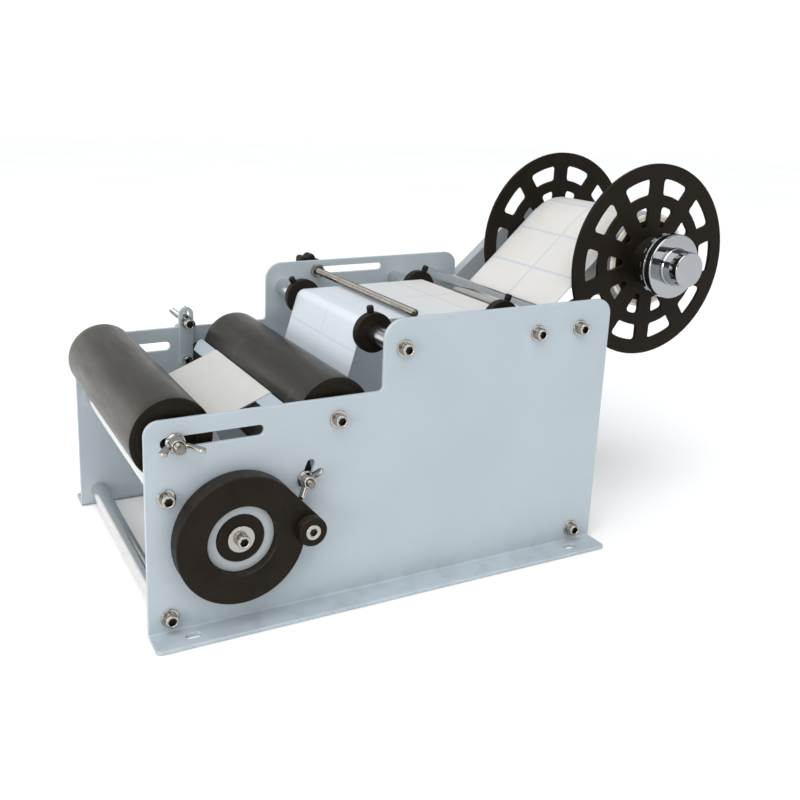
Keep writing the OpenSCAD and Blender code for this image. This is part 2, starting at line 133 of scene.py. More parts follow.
def along(q):
    """Length along the web at the point nearest q, in metres."""
    d = [math.hypot(x[0][0] - q[0], x[0][1] - q[1]) for x in REAR]
    return REAR_S[d.index(min(d))] * MM


S_GAP = along((241.6, 251.0))                 # a gap between labels lies here
S_DROP = along(on(ROUTE[3], TH[3]))           # the web turns down over the front guide rod


# ------------------------------------------------------------------ material helpers
class Mat:
    """A node material around one Principled shader; coordinates are the object's own, in metres."""

    def __init__(self, name):
        self.m = bpy.data.materials.new(name)
        self.m.use_nodes = True
        self.t = self.m.node_tree
        self.t.nodes.clear()
        out = self.add("ShaderNodeOutputMaterial")
        self.b = self.add("ShaderNodeBsdfPrincipled")
        self.t.links.new(self.b.outputs[0], out.inputs[0])
        self._co = None
        self._nrm = None

    def add(self, kind, **k):
        n = self.t.nodes.new(kind)
        for a, v in k.items():
            setattr(n, a, v)
        return n

    def put(self, socket, v):
        if isinstance(v, bpy.types.NodeSocket):
            self.t.links.new(v, socket)
        else:
            socket.default_value = v

    def set(self, **k):
        for a, v in k.items():
            self.put(self.b.inputs[a.replace("_", " ")], v)

    def co(self):
        if self._co is None:
            self._co = self.add("ShaderNodeTexCoord").outputs["Object"]
        return self._co

    def mapped(self, scale=(1, 1, 1), loc=(0, 0, 0), rot=(0, 0, 0), vec=None):
        n = self.add("ShaderNodeMapping")
        self.put(n.inputs["Vector"], vec or self.co())
        n.inputs["Scale"].default_value = scale
        n.inputs["Location"].default_value = loc
        n.inputs["Rotation"].default_value = rot
        return n.outputs[0]

    def noise(self, scale, detail=2.0, rough=0.5, vec=None, distortion=0.0):
        n = self.add("ShaderNodeTexNoise")
        self.put(n.inputs["Vector"], vec or self.co())
        n.inputs["Scale"].default_value = scale
        n.inputs["Detail"].default_value = detail
        n.inputs["Roughness"].default_value = rough
        n.inputs["Distortion"].default_value = distortion
        return n.outputs[0]

    def voronoi(self, scale, vec=None, feature="F1"):
        n = self.add("ShaderNodeTexVoronoi", feature=feature)
        self.put(n.inputs["Vector"], vec or self.co())
        n.inputs["Scale"].default_value = scale
        return n.outputs["Distance"]

    def math(self, op, a, b=0.0, c=0.0, clamp=False):
        n = self.add("ShaderNodeMath", operation=op, use_clamp=clamp)
        self.put(n.inputs[0], a)
        self.put(n.inputs[1], b)
        self.put(n.inputs[2], c)
        return n.outputs[0]

    def range(self, v, a, b, c, d, smooth=False):
        n = self.add("ShaderNodeMapRange")
        n.clamp = True
        if smooth:
            n.interpolation_type = "SMOOTHSTEP"
        self.put(n.inputs[0], v)
        for i, x in enumerate((a, b, c, d)):
            self.put(n.inputs[i + 1], x)
        return n.outputs[0]

    def mix(self, fac, a, b, blend="MIX"):
        n = self.add("ShaderNodeMix", data_type="RGBA", blend_type=blend)
        self.put(n.inputs[0], fac)
        self.put(n.inputs[6], a if isinstance(a, bpy.types.NodeSocket) else (*a, 1.0))
        self.put(n.inputs[7], b if isinstance(b, bpy.types.NodeSocket) else (*b, 1.0))
        return n.outputs[2]

    def xyz(self, vec=None):
        n = self.add("ShaderNodeSeparateXYZ")
        self.put(n.inputs[0], vec or self.co())
        return n.outputs

    def bump(self, height, strength, distance, normal=None):
        n = self.add("ShaderNodeBump")
        n.inputs["Strength"].default_value = strength
        n.inputs["Distance"].default_value = distance
        self.put(n.inputs["Height"], height)
        if normal is not None:
            self.put(n.inputs["Normal"], normal)
        elif self._nrm is not None:
            self.put(n.inputs["Normal"], self._nrm)
        return n.outputs[0]

    def edges(self, radius, gain=3.0):
        """Mask of convex and concave edges."""
        bev = self.add("ShaderNodeBevel")
        bev.samples = 6
        bev.inputs["Radius"].default_value = radius
        geo = self.add("ShaderNodeNewGeometry")
        dot = self.add("ShaderNodeVectorMath", operation="DOT_PRODUCT")
        self.put(dot.inputs[0], bev.outputs[0])
        self.put(dot.inputs[1], geo.outputs["Normal"])
        return self.math("MULTIPLY", self.math("SUBTRACT", 1.0, dot.outputs["Value"]), gain, clamp=True)


def lin(r, g, b):
    """sRGB 0-255 to linear."""
    f = lambda c: c / 12.92 if c <= 0.04045 else ((c + 0.055) / 1.055) ** 2.4
    return tuple(f(c / 255.0) for c in (r, g, b))


def powder_coat(name, col, edge_wear_and_highlight_col, peel=0.28, low_contact_shade=True):
    m = Mat(name)
    broad = m.noise(9.0, 3.0, 0.55)
    cloud = m.noise(70.0, 4.0, 0.6)
    c = m.mix(m.range(broad, 0.35, 0.65, 0.0, 1.0), tuple(x * 0.965 for x in col), tuple(min(1.0, x * 1.03) for x in col))
    c = m.mix(m.range(cloud, 0.45, 0.75, 0.0, 0.22), c, tuple(x * 0.94 for x in col))
    # fine pepper of the powder
    speck = m.voronoi(1500.0)
    c = m.mix(m.range(speck, 0.0, 0.22, 0.10, 0.0), c, tuple(x * 0.78 for x in col))
    # faint rubbed marks
    streak = m.noise(40.0, 5.0, 0.65, vec=m.mapped((1.0, 1.0, 7.0), rot=(0.5, 0.2, 0.3)))
    c = m.mix(m.range(streak, 0.62, 0.78, 0.0, 0.30), c, tuple(min(1.0, x * 1.10) for x in col))
    # Edges are painted lighter: partly a painted highlight where they catch light, partly chipped paint picked out by
    # noise.
    e = m.edges(0.0011, 3.2)
    chip_and_edge_light = m.noise(260.0, 3.0, 0.6)
    c = m.mix(m.math("MULTIPLY", e, m.range(chip_and_edge_light, 0.30, 0.62, 0.35, 0.95)), c, edge_wear_and_highlight_col)
    # painted contact shade: darker in blotches near the floor, fading out 16 mm up
    if low_contact_shade:
        z = m.xyz()[2]
        shade_blotches = m.noise(55.0, 5.0, 0.6)
        d = m.math("MULTIPLY", m.range(z, 0.002, 0.016, 1.0, 0.0), m.range(shade_blotches, 0.42, 0.70, 0.0, 0.42))
        c = m.mix(d, c, tuple(x * 0.55 for x in col))
    m.set(Base_Color=c, Roughness=m.range(cloud, 0.3, 0.7, 0.34, 0.50), IOR=1.5)
    h = m.math("ADD", m.noise(620.0, 2.0, 0.5), m.math("MULTIPLY", m.noise(2600.0, 1.0), 0.35))
    m.set(Normal=m.bump(h, peel, 0.00006))
    m.set(Coat_Weight=0.12, Coat_Roughness=0.28)
    return m.m


def steel(name, col, r0, r1, dirt=0.35, brush=(1.0, 1.0, 1.0), brush_amt=0.22, spots=True):
    m = Mat(name)
    br = m.noise(2200.0, 3.0, 0.6, vec=m.mapped(brush))
    cl = m.noise(130.0, 5.0, 0.62)
    c = m.mix(m.range(cl, 0.40, 0.72, 0.0, 0.5), col, tuple(x * 0.86 for x in col))
    if spots:
        sp = m.noise(420.0, 6.0, 0.72)
        c = m.mix(m.range(sp, 0.62, 0.78, 0.0, dirt), c, tuple(x * f for x, f in zip(col, (0.42, 0.37, 0.31))))
    e = m.edges(0.0005, 2.2)
    # painted highlight: edges are coloured lighter
    c = m.mix(m.math("MULTIPLY", e, 0.45), c, tuple(min(1.0, x * 1.18) for x in col))
    rough = m.math("ADD", m.range(cl, 0.3, 0.75, r0, r1), m.math("MULTIPLY", m.math("SUBTRACT", br, 0.5), 0.10), clamp=True)
    m.set(Base_Color=c, Metallic=1.0, Roughness=rough)
    m.set(Normal=m.bump(br, brush_amt, 0.00003))
    return m.m


def black_part(name, col, r0, r1, grain=900.0, grain_amt=0.25, edge_gain=1.6, edge_col=None, scuffs=0.3):
    m = Mat(name)
    br = m.noise(45.0, 4.0, 0.6)
    fine = m.noise(grain, 2.0, 0.55)
    c = m.mix(m.range(br, 0.35, 0.70, 0.0, 1.0), tuple(x * 0.80 for x in col), tuple(x * 1.30 for x in col))
    sc = m.noise(28.0, 8.0, 0.75, vec=m.mapped((1.0, 9.0, 1.5), rot=(0.3, 0.7, 0.9)))
    c = m.mix(m.range(sc, 0.64, 0.74, 0.0, scuffs), c, tuple(min(1.0, x * 3.2 + 0.02) for x in col))
    # edges are coloured lighter: partly scuffed wear, partly a painted highlight
    e = m.edges(0.0008, edge_gain)
    ec = edge_col or tuple(min(1.0, x * 2.6 + 0.012) for x in col)
    c = m.mix(m.math("MULTIPLY", e, m.range(m.noise(320.0, 4.0, 0.6), 0.30, 0.65, 0.25, 0.9)), c, ec)
    # dust settled on upward faces
    geo = m.add("ShaderNodeNewGeometry")
    up = m.xyz(geo.outputs["Normal"])[2]
    dust = m.math("MULTIPLY", m.range(up, 0.2, 1.0, 0.0, 0.055), m.range(m.noise(240.0, 5.0, 0.7), 0.35, 0.70, 0.2, 1.0))
    c = m.mix(dust, c, (0.42, 0.40, 0.37))
    m.set(Base_Color=c, Roughness=m.range(br, 0.30, 0.72, r0, r1), IOR=1.47)
    m.set(Specular_IOR_Level=0.12, Specular_Tint=(1.0, 0.90, 0.80, 1.0))
    m.set(Normal=m.bump(fine, grain_amt, 0.00005))
    return m.m


def rubber(name, col):
    m = Mat(name)
    br = m.noise(22.0, 5.0, 0.6, vec=m.mapped((0.35, 1.0, 1.0)))
    fine = m.noise(1300.0, 2.0, 0.6)
    ring = m.noise(420.0, 3.0, 0.6, vec=m.mapped((3.0, 0.04, 0.04)))      # grinding marks run round the roller
    c = m.mix(m.range(br, 0.35, 0.70, 0.0, 1.0), tuple(x * 0.80 for x in col), tuple(x * 1.35 for x in col))
    c = m.mix(m.range(ring, 0.45, 0.75, 0.0, 0.28), c, tuple(x * 1.9 for x in col))
    smear = m.noise(16.0, 7.0, 0.72, vec=m.mapped((2.6, 0.7, 0.7), rot=(0.2, 0.5, 0.1)))
    c = m.mix(m.range(smear, 0.58, 0.76, 0.0, 0.26), c, (0.150, 0.142, 0.125))
    run = m.noise(34.0, 6.0, 0.68, vec=m.mapped((0.16, 1.0, 1.0), loc=(0.3, 0.1, 0.7)))      # dark streaks along the roller
    c = m.mix(m.range(run, 0.46, 0.66, 0.0, 0.62), c, tuple(x * 0.42 for x in col))
    e = m.edges(0.0012, 1.6)
    # painted highlight: the rubber's edges are coloured lighter grey
    c = m.mix(m.math("MULTIPLY", e, 0.35), c, (0.10, 0.097, 0.092))
    # end faces are painted darker by the way they face, as painted shade, and made dull
    geo = m.add("ShaderNodeNewGeometry")
    nx = m.math("ABSOLUTE", m.xyz(geo.outputs["Normal"])[0])
    c = m.mix(m.range(nx, 0.45, 0.85, 0.0, 0.92), c, tuple(x * 0.34 for x in col))
    m.set(Base_Color=c, Roughness=m.math("ADD", m.range(run, 0.36, 0.66, 0.27, 0.47), m.math("MULTIPLY", m.math("SUBTRACT", ring, 0.5), 0.10)), IOR=1.52)
    h = m.math("ADD", m.math("MULTIPLY", fine, 0.7), ring)
    m.set(Normal=m.bump(h, 0.22, 0.00005))
    m.set(Specular_IOR_Level=m.range(nx, 0.45, 0.85, 0.42, 0.10), Specular_Tint=(1.0, 0.94, 0.82, 1.0))
    return m.m


def chrome(name, col):
    m = Mat(name)
    cl = m.noise(60.0, 5.0, 0.6)
    wipe = m.noise(900.0, 3.0, 0.6, vec=m.mapped((0.2, 1.0, 1.0)))
    smudge = m.noise(34.0, 6.0, 0.7)
    c = m.mix(m.range(cl, 0.4, 0.7, 0.0, 0.4), col, tuple(x * 0.94 for x in col))
    rough = m.math("ADD", m.range(smudge, 0.45, 0.75, 0.035, 0.13), m.math("MULTIPLY", wipe, 0.025))
    m.set(Base_Color=c, Metallic=1.0, Roughness=rough)
    m.set(Normal=m.bump(wipe, 0.04, 0.00002))
    return m.m


def paper(name, kind):
    """Label stock. The web's own map gives metres across (u) and along (v)."""
    m = Mat(name)
    cream, pale, cool_light_tint = (0.598, 0.584, 0.560), (0.464, 0.505, 0.546), (0.572, 0.627, 0.682)
    uvn = m.add("ShaderNodeUVMap", uv_map="web")
    sx = m.xyz(uvn.outputs[0])
    u, v = sx[0], sx[1]
    fibre = m.noise(1500.0, 4.0, 0.62, vec=uvn.outputs[0])
    cloud = m.noise(60.0, 4.0, 0.6, vec=uvn.outputs[0])
    broad = m.noise(14.0, 3.0, 0.5, vec=uvn.outputs[0])
    if kind == "labels":
        pitch, gap = 0.0425, 0.0013
        wob = m.math("MULTIPLY", m.math("SUBTRACT", broad, 0.5), 0.0006)
        f = m.math("FRACT", m.math("DIVIDE", m.math("ADD", m.math("SUBTRACT", v, S_GAP), m.math("ADD", wob, 4.25)), pitch))
        dv = m.math("MULTIPLY", m.math("ABSOLUTE", m.math("SUBTRACT", f, 0.5)), pitch)      # from the label's middle
        row = m.range(dv, pitch / 2 - gap, pitch / 2 - gap + 0.0003, 0.0, 1.0)
        au = m.math("ABSOLUTE", m.math("ADD", u, wob))
        col = m.range(au, gap, gap - 0.0003, 0.0, 1.0)
        side = m.range(au, 0.0617, 0.0620, 0.0, 1.0)
        # The gaps between labels show the liner, coloured darker and bluer than the bare liner: partly the liner,
        # partly painted shade along the label edges.
        liner = m.math("MAXIMUM", m.math("MAXIMUM", row, col), side)
        # painted cool light: over the 150 mm before the web turns down, labels and gaps fade to a blue-white tint
        cool_light_mask = m.range(v, S_DROP - 0.150, S_DROP + 0.004, 0.0, 1.0, smooth=True)
        body = m.mix(m.range(cloud, 0.35, 0.70, 0.0, 1.0), tuple(x * 0.965 for x in cream), cream)
        body = m.mix(cool_light_mask, body, cool_light_tint)
        c = m.mix(liner, body, m.mix(m.math("MULTIPLY", cool_light_mask, 0.70), pale, cool_light_tint))
        h = m.math("ADD", m.math("SUBTRACT", 1.0, liner), m.math("MULTIPLY", fibre, 0.12))
        m.set(Normal=m.bump(h, 0.55, 0.00012))
    else:
        base = (0.555, 0.550, 0.525)
        c = m.mix(m.range(cloud, 0.35, 0.70, 0.0, 1.0), tuple(x * 0.955 for x in base), base)
        # faint print of the labels that were peeled off
        gh = m.math("ABSOLUTE", m.math("SUBTRACT", m.math("FRACT", m.math("DIVIDE", m.math("ADD", v, 4.0), 0.0425)), 0.5))
        c = m.mix(m.range(gh, 0.465, 0.475, 0.0, 0.10), c, tuple(x * 0.82 for x in base))
        m.set(Normal=m.bump(fibre, 0.16, 0.00006))
    c = m.mix(m.range(fibre, 0.55, 0.80, 0.0, 0.10), c, tuple(x * 0.80 for x in cream))
    m.set(Base_Color=c, Roughness=m.range(cloud, 0.3, 0.7, 0.46, 0.60), IOR=1.45)
    m.set(Specular_IOR_Level=0.3)
    return m.m


def paper_edge(name):
    """Cut edges of the wound label stock: thin rings about the reel's axis."""
    m = Mat(name)
    x = m.xyz(m.mapped(loc=(0.0, -RC[0] * MM, -RC[1] * MM)))
    r = m.math("SQRT", m.math("ADD", m.math("POWER", x[1], 2.0), m.math("POWER", x[2], 2.0)))
    comb = m.add("ShaderNodeCombineXYZ")
    m.put(comb.inputs[0], r)
    rings = m.noise(5200.0, 2.0, 0.6, vec=comb.outputs[0])
    c = m.mix(m.range(rings, 0.38, 0.66, 0.0, 1.0), lin(226, 220, 208), lin(247, 244, 238))
    m.set(Base_Color=c, Roughness=m.range(rings, 0.3, 0.7, 0.62, 0.78))
    m.set(Normal=m.bump(rings, 0.5, 0.00008))
    return m.m


def cardboard(name):
    m = Mat(name)
    sp = m.noise(700.0, 4.0, 0.65, vec=m.mapped((0.25, 1.0, 1.0)))
    wind = m.noise(55.0, 3.0, 0.6, vec=m.mapped((4.0, 0.3, 0.3), rot=(0.0, 0.0, 0.6)))
    c = m.mix(m.range(sp, 0.35, 0.70, 0.0, 1.0), lin(196, 184, 164), lin(222, 213, 196))
    c = m.mix(m.range(wind, 0.50, 0.68, 0.0, 0.35), c, lin(172, 157, 134))
    m.set(Base_Color=c, Roughness=m.range(sp, 0.3, 0.7, 0.72, 0.88))
    m.set(Normal=m.bump(sp, 0.3, 0.0001))
    return m.m


PLATE = (0.378, 0.437, 0.476)
M = {
    "plate_paint": powder_coat("powder_coat_plate", PLATE, (0.74, 0.79, 0.82)),
    "arm_paint": powder_coat("powder_coat_arm", (0.345, 0.372, 0.394), (0.64, 0.68, 0.71), low_contact_shade=False),
    "polished_rod": steel("polished_bar", (0.72, 0.728, 0.722), 0.14, 0.24, 0.30, brush=(0.03, 1.0, 1.0), brush_amt=0.10),
    "fastener_steel": steel("bright_fastener", (0.43, 0.41, 0.38), 0.15, 0.28, 0.50),
    # painted shade: the insides of the hex sockets are coloured near black
    "socket_shade": steel("socket_shade", (0.036, 0.031, 0.026), 0.42, 0.58, 0.40),
    "thread_steel": steel("rolled_thread", (0.218, 0.204, 0.182), 0.22, 0.38, 0.60),
    "shaft_steel": steel("turned_shaft", (0.50, 0.49, 0.48), 0.22, 0.36, 0.35, brush=(6.0, 0.05, 0.05)),
    "bush_bronze": steel("sintered_bronze", (0.50, 0.35, 0.17), 0.34, 0.50, 0.5),
    "core_aluminium": steel("turned_tube", (0.60, 0.61, 0.62), 0.24, 0.36, 0.2, brush=(6.0, 0.05, 0.05)),
    "drum_aluminium": steel("turned_drum", (0.62, 0.63, 0.64), 0.26, 0.38, 0.2, brush=(6.0, 0.05, 0.05)),
    "roller_rubber": rubber("ground_rubber", (0.0215, 0.0190, 0.0142)),
    "black_plastic": black_part("black_plastic", (0.0105, 0.0080, 0.0056), 0.40, 0.56, grain=1100.0),
    "crank_plastic": black_part("crank_plastic", (0.0105, 0.0079, 0.0055), 0.34, 0.50, grain=520.0, grain_amt=0.20, scuffs=0.22),
    "disc_plastic": black_part("disc_plastic", (0.0098, 0.0072, 0.0048), 0.46, 0.62, grain=800.0, scuffs=0.18),
    "black_steel": black_part("black_finish", (0.0115, 0.0092, 0.0068), 0.32, 0.46, grain=1500.0, grain_amt=0.15, edge_gain=2.4),
    "trim_plastic": powder_coat("trim_ring", (0.312, 0.342, 0.356), (0.54, 0.58, 0.60), peel=0.10, low_contact_shade=False),
    "hub_chrome": chrome("mirror_chrome", (0.39, 0.405, 0.42)),
    "label_paper": paper("label_stock", "labels"),
    "liner_paper": paper("bare_liner", "liner"),
    "paper_edge": paper_edge("paper_edges"),
    "core_card": cardboard("core_card"),
}

# carried-over nodes take the finish of their record slot
SLOT = {s["node"]: s["material_slot"] for s in frame["record"]["subparts"]}
for n, o in NODES.items():
    o.data.materials.clear()
    o.data.materials.append(M[SLOT[n]])


# ------------------------------------------------------------------ mesh helpers
def V(x, y, z):
    return Vector((x * MM, y * MM, z * MM))


def finish_mesh(bm, name, mats, body, nodes=(), angle=34.0, weighted=False, merge=True):
    if merge:
        bmesh.ops.remove_doubles(bm, verts=bm.verts[:], dist=2e-6)
    bmesh.ops.recalc_face_normals(bm, faces=bm.faces[:])
    me = bpy.data.meshes.new(name)
    bm.to_mesh(me)
    bm.free()
    me.shade_smooth()
    me.set_sharp_from_angle(angle=math.radians(angle))
    for x in mats:
        me.materials.append(x)
    o = bpy.data.objects.new(name, me)
    SC.collection.objects.link(o)
    if weighted:
        w = o.modifiers.new("flat_faces", "WEIGHTED_NORMAL")
        w.mode = "FACE_AREA"
        w.weight = 100
        w.keep_sharp = True
    if body:
        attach(o, body)
    if nodes:
        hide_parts(*nodes)
    return o


def lathe(bm, prof, p=(0.0, 0.0), seg=96, rfun=None, closed=False, s=1.0, mat=0, xf=None, phase=0.0):
    """Rings about the X direction at (y, z) = p; prof holds (radius, x). A radius of 0 closes the end."""
    put = xf or (lambda x, y, z: V(s * x, p[0] + y, p[1] + z))
    rings = []
    for r, x in prof:
        if r < 1e-6:
            rings.append([bm.verts.new(put(x, 0.0, 0.0))])
            continue
        ring = []
        for i in range(seg):
            a = 2 * PI * i / seg + phase
            rr = rfun(r, x, a) if rfun else r
            ring.append(bm.verts.new(put(x, rr * math.cos(a), rr * math.sin(a))))
        rings.append(ring)
    pairs = list(zip(rings[:-1], rings[1:]))
    if closed:
        pairs.append((rings[-1], rings[0]))
    for a, b in pairs:
        if len(a) == 1 and len(b) == 1:
            continue
        for i in range(seg):
            j = (i + 1) % seg
            if len(a) == 1:
                f = bm.faces.new((a[0], b[i], b[j]))
            elif len(b) == 1:
                f = bm.faces.new((a[i], b[0], a[j]))
            else:
                f = bm.faces.new((a[i], a[j], b[j], b[i]))
            f.material_index = mat
    return rings


def rounded(pts, n=4):
    """Profile of (r, x, fillet) corners to (r, x) points with the corners rounded. Ends stay as they are."""
    out = []
    k = len(pts)
    for i, (r, x, f) in enumerate(pts):
        if i in (0, k - 1) or f <= 0:
            out.append((r, x))
            continue
        p, a, b = np.array((r, x)), np.array(pts[i - 1][:2]), np.array(pts[i + 1][:2])
        u, w = (a - p) / np.linalg.norm(a - p), (b - p) / np.linalg.norm(b - p)
        h = math.acos(max(-1, min(1, float(u @ w)))) / 2
        d = min(f / math.tan(h), 0.49 * np.linalg.norm(a - p), 0.49 * np.linalg.norm(b - p))
        f2 = d * math.tan(h)
        m = (u + w) / np.linalg.norm(u + w)
        o = p + m * f2 / math.sin(h)
        t0, t1 = p + u * d - o, p + w * d - o
        a0, a1 = math.atan2(t0[1], t0[0]), math.atan2(t1[1], t1[0])
        dd = (a1 - a0 + PI) % (2 * PI) - PI
        out += [tuple(o + f2 * np.array((math.cos(a0 + dd * q / n), math.sin(a0 + dd * q / n)))) for q in range(n + 1)]
    return out


def ring_profile(pts, n=4):
    """Closed profile with rounded corners."""
    k = len(pts)
    return rounded([pts[-1]] + list(pts) + [pts[0]], n)[1:-1]


def circle(c, r, n=48, start=0.0):
    return [(c[0] + r * math.cos(start + 2 * PI * i / n), c[1] + r * math.sin(start + 2 * PI * i / n)) for i in range(n)]


def arc(c, r, a0, a1, n):
    return [(c[0] + r * math.cos(math.radians(a0 + (a1 - a0) * i / n)), c[1] + r * math.sin(math.radians(a0 + (a1 - a0) * i / n))) for i in range(n + 1)]


def stadium(p, q, r, n=16):
    a = math.degrees(math.atan2(q[1] - p[1], q[0] - p[0]))
    return arc(q, r, a - 90, a + 90, n) + arc(p, r, a + 90, a + 270, n)


def area(l):
    return 0.5 * sum(a[0] * b[1] - b[0] * a[1] for a, b in zip(l, l[1:] + l[:1]))


def slab(bm, loops, c0, c1, put, bev=0.4, n=3, hold=None, mat=0):
    """Flat plate with rounded edges: outlines in (a, b), thickness along c. hold(a, b) marks edges that join on to something and stay square and open."""
    loops = [l if (area(l) > 0) == (i == 0) else l[::-1] for i, l in enumerate(loops)]
    hold = hold or (lambda a, b: False)
    levels = []
    for k in range(n + 1):
        f = PI / 2 * k / n
        levels.append((bev * (1 - math.sin(f)), c0 + bev * (1 - math.cos(f))))
    levels += [(d, c1 - (c - c0)) for d, c in levels[::-1]]
    rings = []
    for d, c in levels:
        lv = []
        for l in loops:
            k = len(l)
            vs = []
            for i in range(k):
                p0, p, p1 = l[i - 1], l[i], l[(i + 1) % k]
                e0, e1 = (p[0] - p0[0], p[1] - p0[1]), (p1[0] - p[0], p1[1] - p[1])
                l0, l1 = math.hypot(*e0), math.hypot(*e1)
                n0, n1 = (-e0[1] / l0, e0[0] / l0), (-e1[1] / l1, e1[0] / l1)
                if hold(*p) and hold(*p0):
                    n0 = (0.0, 0.0)
                if hold(*p) and hold(*p1):
                    n1 = (0.0, 0.0)
                den = max(0.35, 1 + n0[0] * n1[0] + n0[1] * n1[1])
                vs.append(bm.verts.new(put(p[0] + d * (n0[0] + n1[0]) / den, p[1] + d * (n0[1] + n1[1]) / den, c)))
            lv.append(vs)
        rings.append(lv)
    for a, b in zip(rings[:-1], rings[1:]):
        for li, (u, w) in enumerate(zip(a, b)):
            k = len(u)
            for i in range(k):
                j = (i + 1) % k
                if hold(*loops[li][i]) and hold(*loops[li][j]):
                    continue
                bm.faces.new((u[i], u[j], w[j], w[i])).material_index = mat
    for lv in (rings[0], rings[-1]):
        es = []
        for vs in lv:
            for i in range(len(vs)):
                pair = (vs[i], vs[(i + 1) % len(vs)])
                es.append(bm.edges.get(pair) or bm.edges.new(pair))
        for f in bmesh.ops.triangle_fill(bm, use_beauty=True, use_dissolve=False, edges=es)["geom"]:
            if isinstance(f, bmesh.types.BMFace):
                f.material_index = mat


def yz(s=1.0):
    return lambda a, b, c: V(s * c, a, b)


def thread(depth, pitch, hand=1.0):
    def f(r, x, a):
        t = (x / pitch - hand * a / (2 * PI)) % 1.0
        return r - depth * min(1.0, 2.4 * abs(t - 0.5))
    return f


def thread_profile(x0, x1, r, pitch, cham=0.8):
    k = int(round((x1 - x0) / pitch * 5))
    out = []
    for i in range(k + 1):
        x = x0 + (x1 - x0) * i / k
        e = min(1.0, (x - x0) / cham + 0.35, (x1 - x) / cham + 0.35) if cham else 1.0
        out.append((r - (1 - e) * 0.9, x))
    return out


# ------------------------------------------------------------------ side plates
def plate_outline():
    return ([(-200.0, 4.0), (200.0, 4.0)] + arc((186.0, 205.5), 14, 0, 90, 12) + arc((0.0, 203.5), 16, 90, 180, 14)
            + arc((-19.0, 167.5), 3, 0, -90, 6) + arc((-189.0, 153.5), 11, 90, 180, 12))


def side_plate(s, extra, name, node):
    bm = bmesh.new()
    bev = 0.55
    holes = [circle(p, 3.3, 40) for p in RODS + [S3]]
    holes += [stadium((-184.3, 147.4), (-116.1, 147.4), 4.1), stadium(PA0, (PA0[0] + PLEN * PDIR[0], PA0[1] + PLEN * PDIR[1]), 3.3), circle(CR, 11, 64)]
    slab(bm, [plate_outline()] + holes + extra, XI, XO, yz(s), bev, 3, hold=lambda a, b: b < 4.001)
    # fold from the plate into the flange
    n = 10
    sec = [(120 + 4 * math.cos(t), 4 + 4 * math.sin(t)) for t in [PI + PI / 2 * i / n for i in range(n + 1)]]
    sec += [(120 + math.cos(t), 4 + math.sin(t)) for t in [PI * 1.5 - PI / 2 * i / n for i in range(n + 1)]]
    mid = 2.5
    rings = []
    for k in range(4):
        f = PI / 2 * k / 3
        rings.append((-200 + bev * (1 - math.cos(f)), bev * (1 - math.sin(f))))
    rings += [(-y, d) for y, d in rings[::-1]]
    vs = []
    for y, d in rings:
        lv = []
        for i, (x, z) in enumerate(sec):
            r = math.hypot(x - 120, z - 4)
            q = (r - d) / r if r > mid else (r + d) / r
            lv.append(bm.verts.new(V(s * (120 + (x - 120) * q), y, 4 + (z - 4) * q)))
        vs.append(lv)
    for a, b in zip(vs[:-1], vs[1:]):
        for i in range(len(sec)):
            j = (i + 1) % len(sec)
            if i in (n, 2 * n + 1):
                continue
            bm.faces.new((a[i], a[j], b[j], b[i]))
    for lv in (vs[0], vs[-1]):
        for i in range(n):
            bm.faces.new((lv[i], lv[i + 1], lv[2 * n - i], lv[2 * n + 1 - i]))
    fl = [(120.0, -200.0)] + arc((137.0, -196.0), 4, -90, 0, 6) + arc((137.0, 196.0), 4, 0, 90, 6) + [(120.0, 200.0)]
    sl = [stadium((130.0, y - 2.75), (130.0, y + 2.75), 3.25, 12) for y in (-170.0, 170.0)]
    slab(bm, [fl] + sl, 0.0, 3.0, lambda a, b, c: V(s * a, b, c), bev, 3, hold=lambda a, b: a < 120.001)
    return finish_mesh(bm, name, [M["plate_paint"]], "frame", [node], weighted=True)


side_plate(1.0, [], "side_plate_right", "right_side_plate")
side_plate(-1.0, [stadium(HD0, (107.0, 209.5), 3.5), circle((ST[0], 133.0), 2.55, 32), circle(AB1, 3.3, 40), circle(AB2, 3.3, 40)],
           "side_plate_left", "left_side_plate")

# reel arm with its folded lip
bm = bmesh.new()
slab(bm, [stadium(AB0, RC, 27.0, 32), circle(RC, 3.3, 40), circle(AB1, 3.05, 40), circle(AB2, 3.05, 40)], -XI, -XI + 4, yz(), 0.5, 3)
u = (-math.cos(ARM_A), -math.sin(ARM_A))
w = (-u[1], u[0])
P = lambda t, q: (RC[0] + t * u[0] - q * w[0], RC[1] + t * u[1] - q * w[1])
slab(bm, [[P(3, 26.75), P(92, 26.75), P(92, 23.75), P(3, 23.75)]], -XI - 8, -XI + 1, yz(), 0.45, 3)
finish_mesh(bm, "reel_arm_plate", [M["arm_paint"]], "frame", ["reel_arm"], weighted=True)

# slotted bracket of the bottle stop
bm = bmesh.new()
slab(bm, [stadium((ST[0], 131.0), (ST[0], 177.0), 7.0, 20), circle((ST[0], 133.0), 2.75, 32), stadium((ST[0], 167.0), (ST[0], 177.0), 3.3)], -XI, -XI + 3, yz(), 0.4, 3)
finish_mesh(bm, "stop_bracket_plate", [M["plate_paint"]], "frame", ["stop_bracket"], weighted=True)


# ------------------------------------------------------------------ fasteners
def hexr(af, a):
    t = (a % (PI / 3)) - PI / 6
    return af / 2 / math.cos(t)


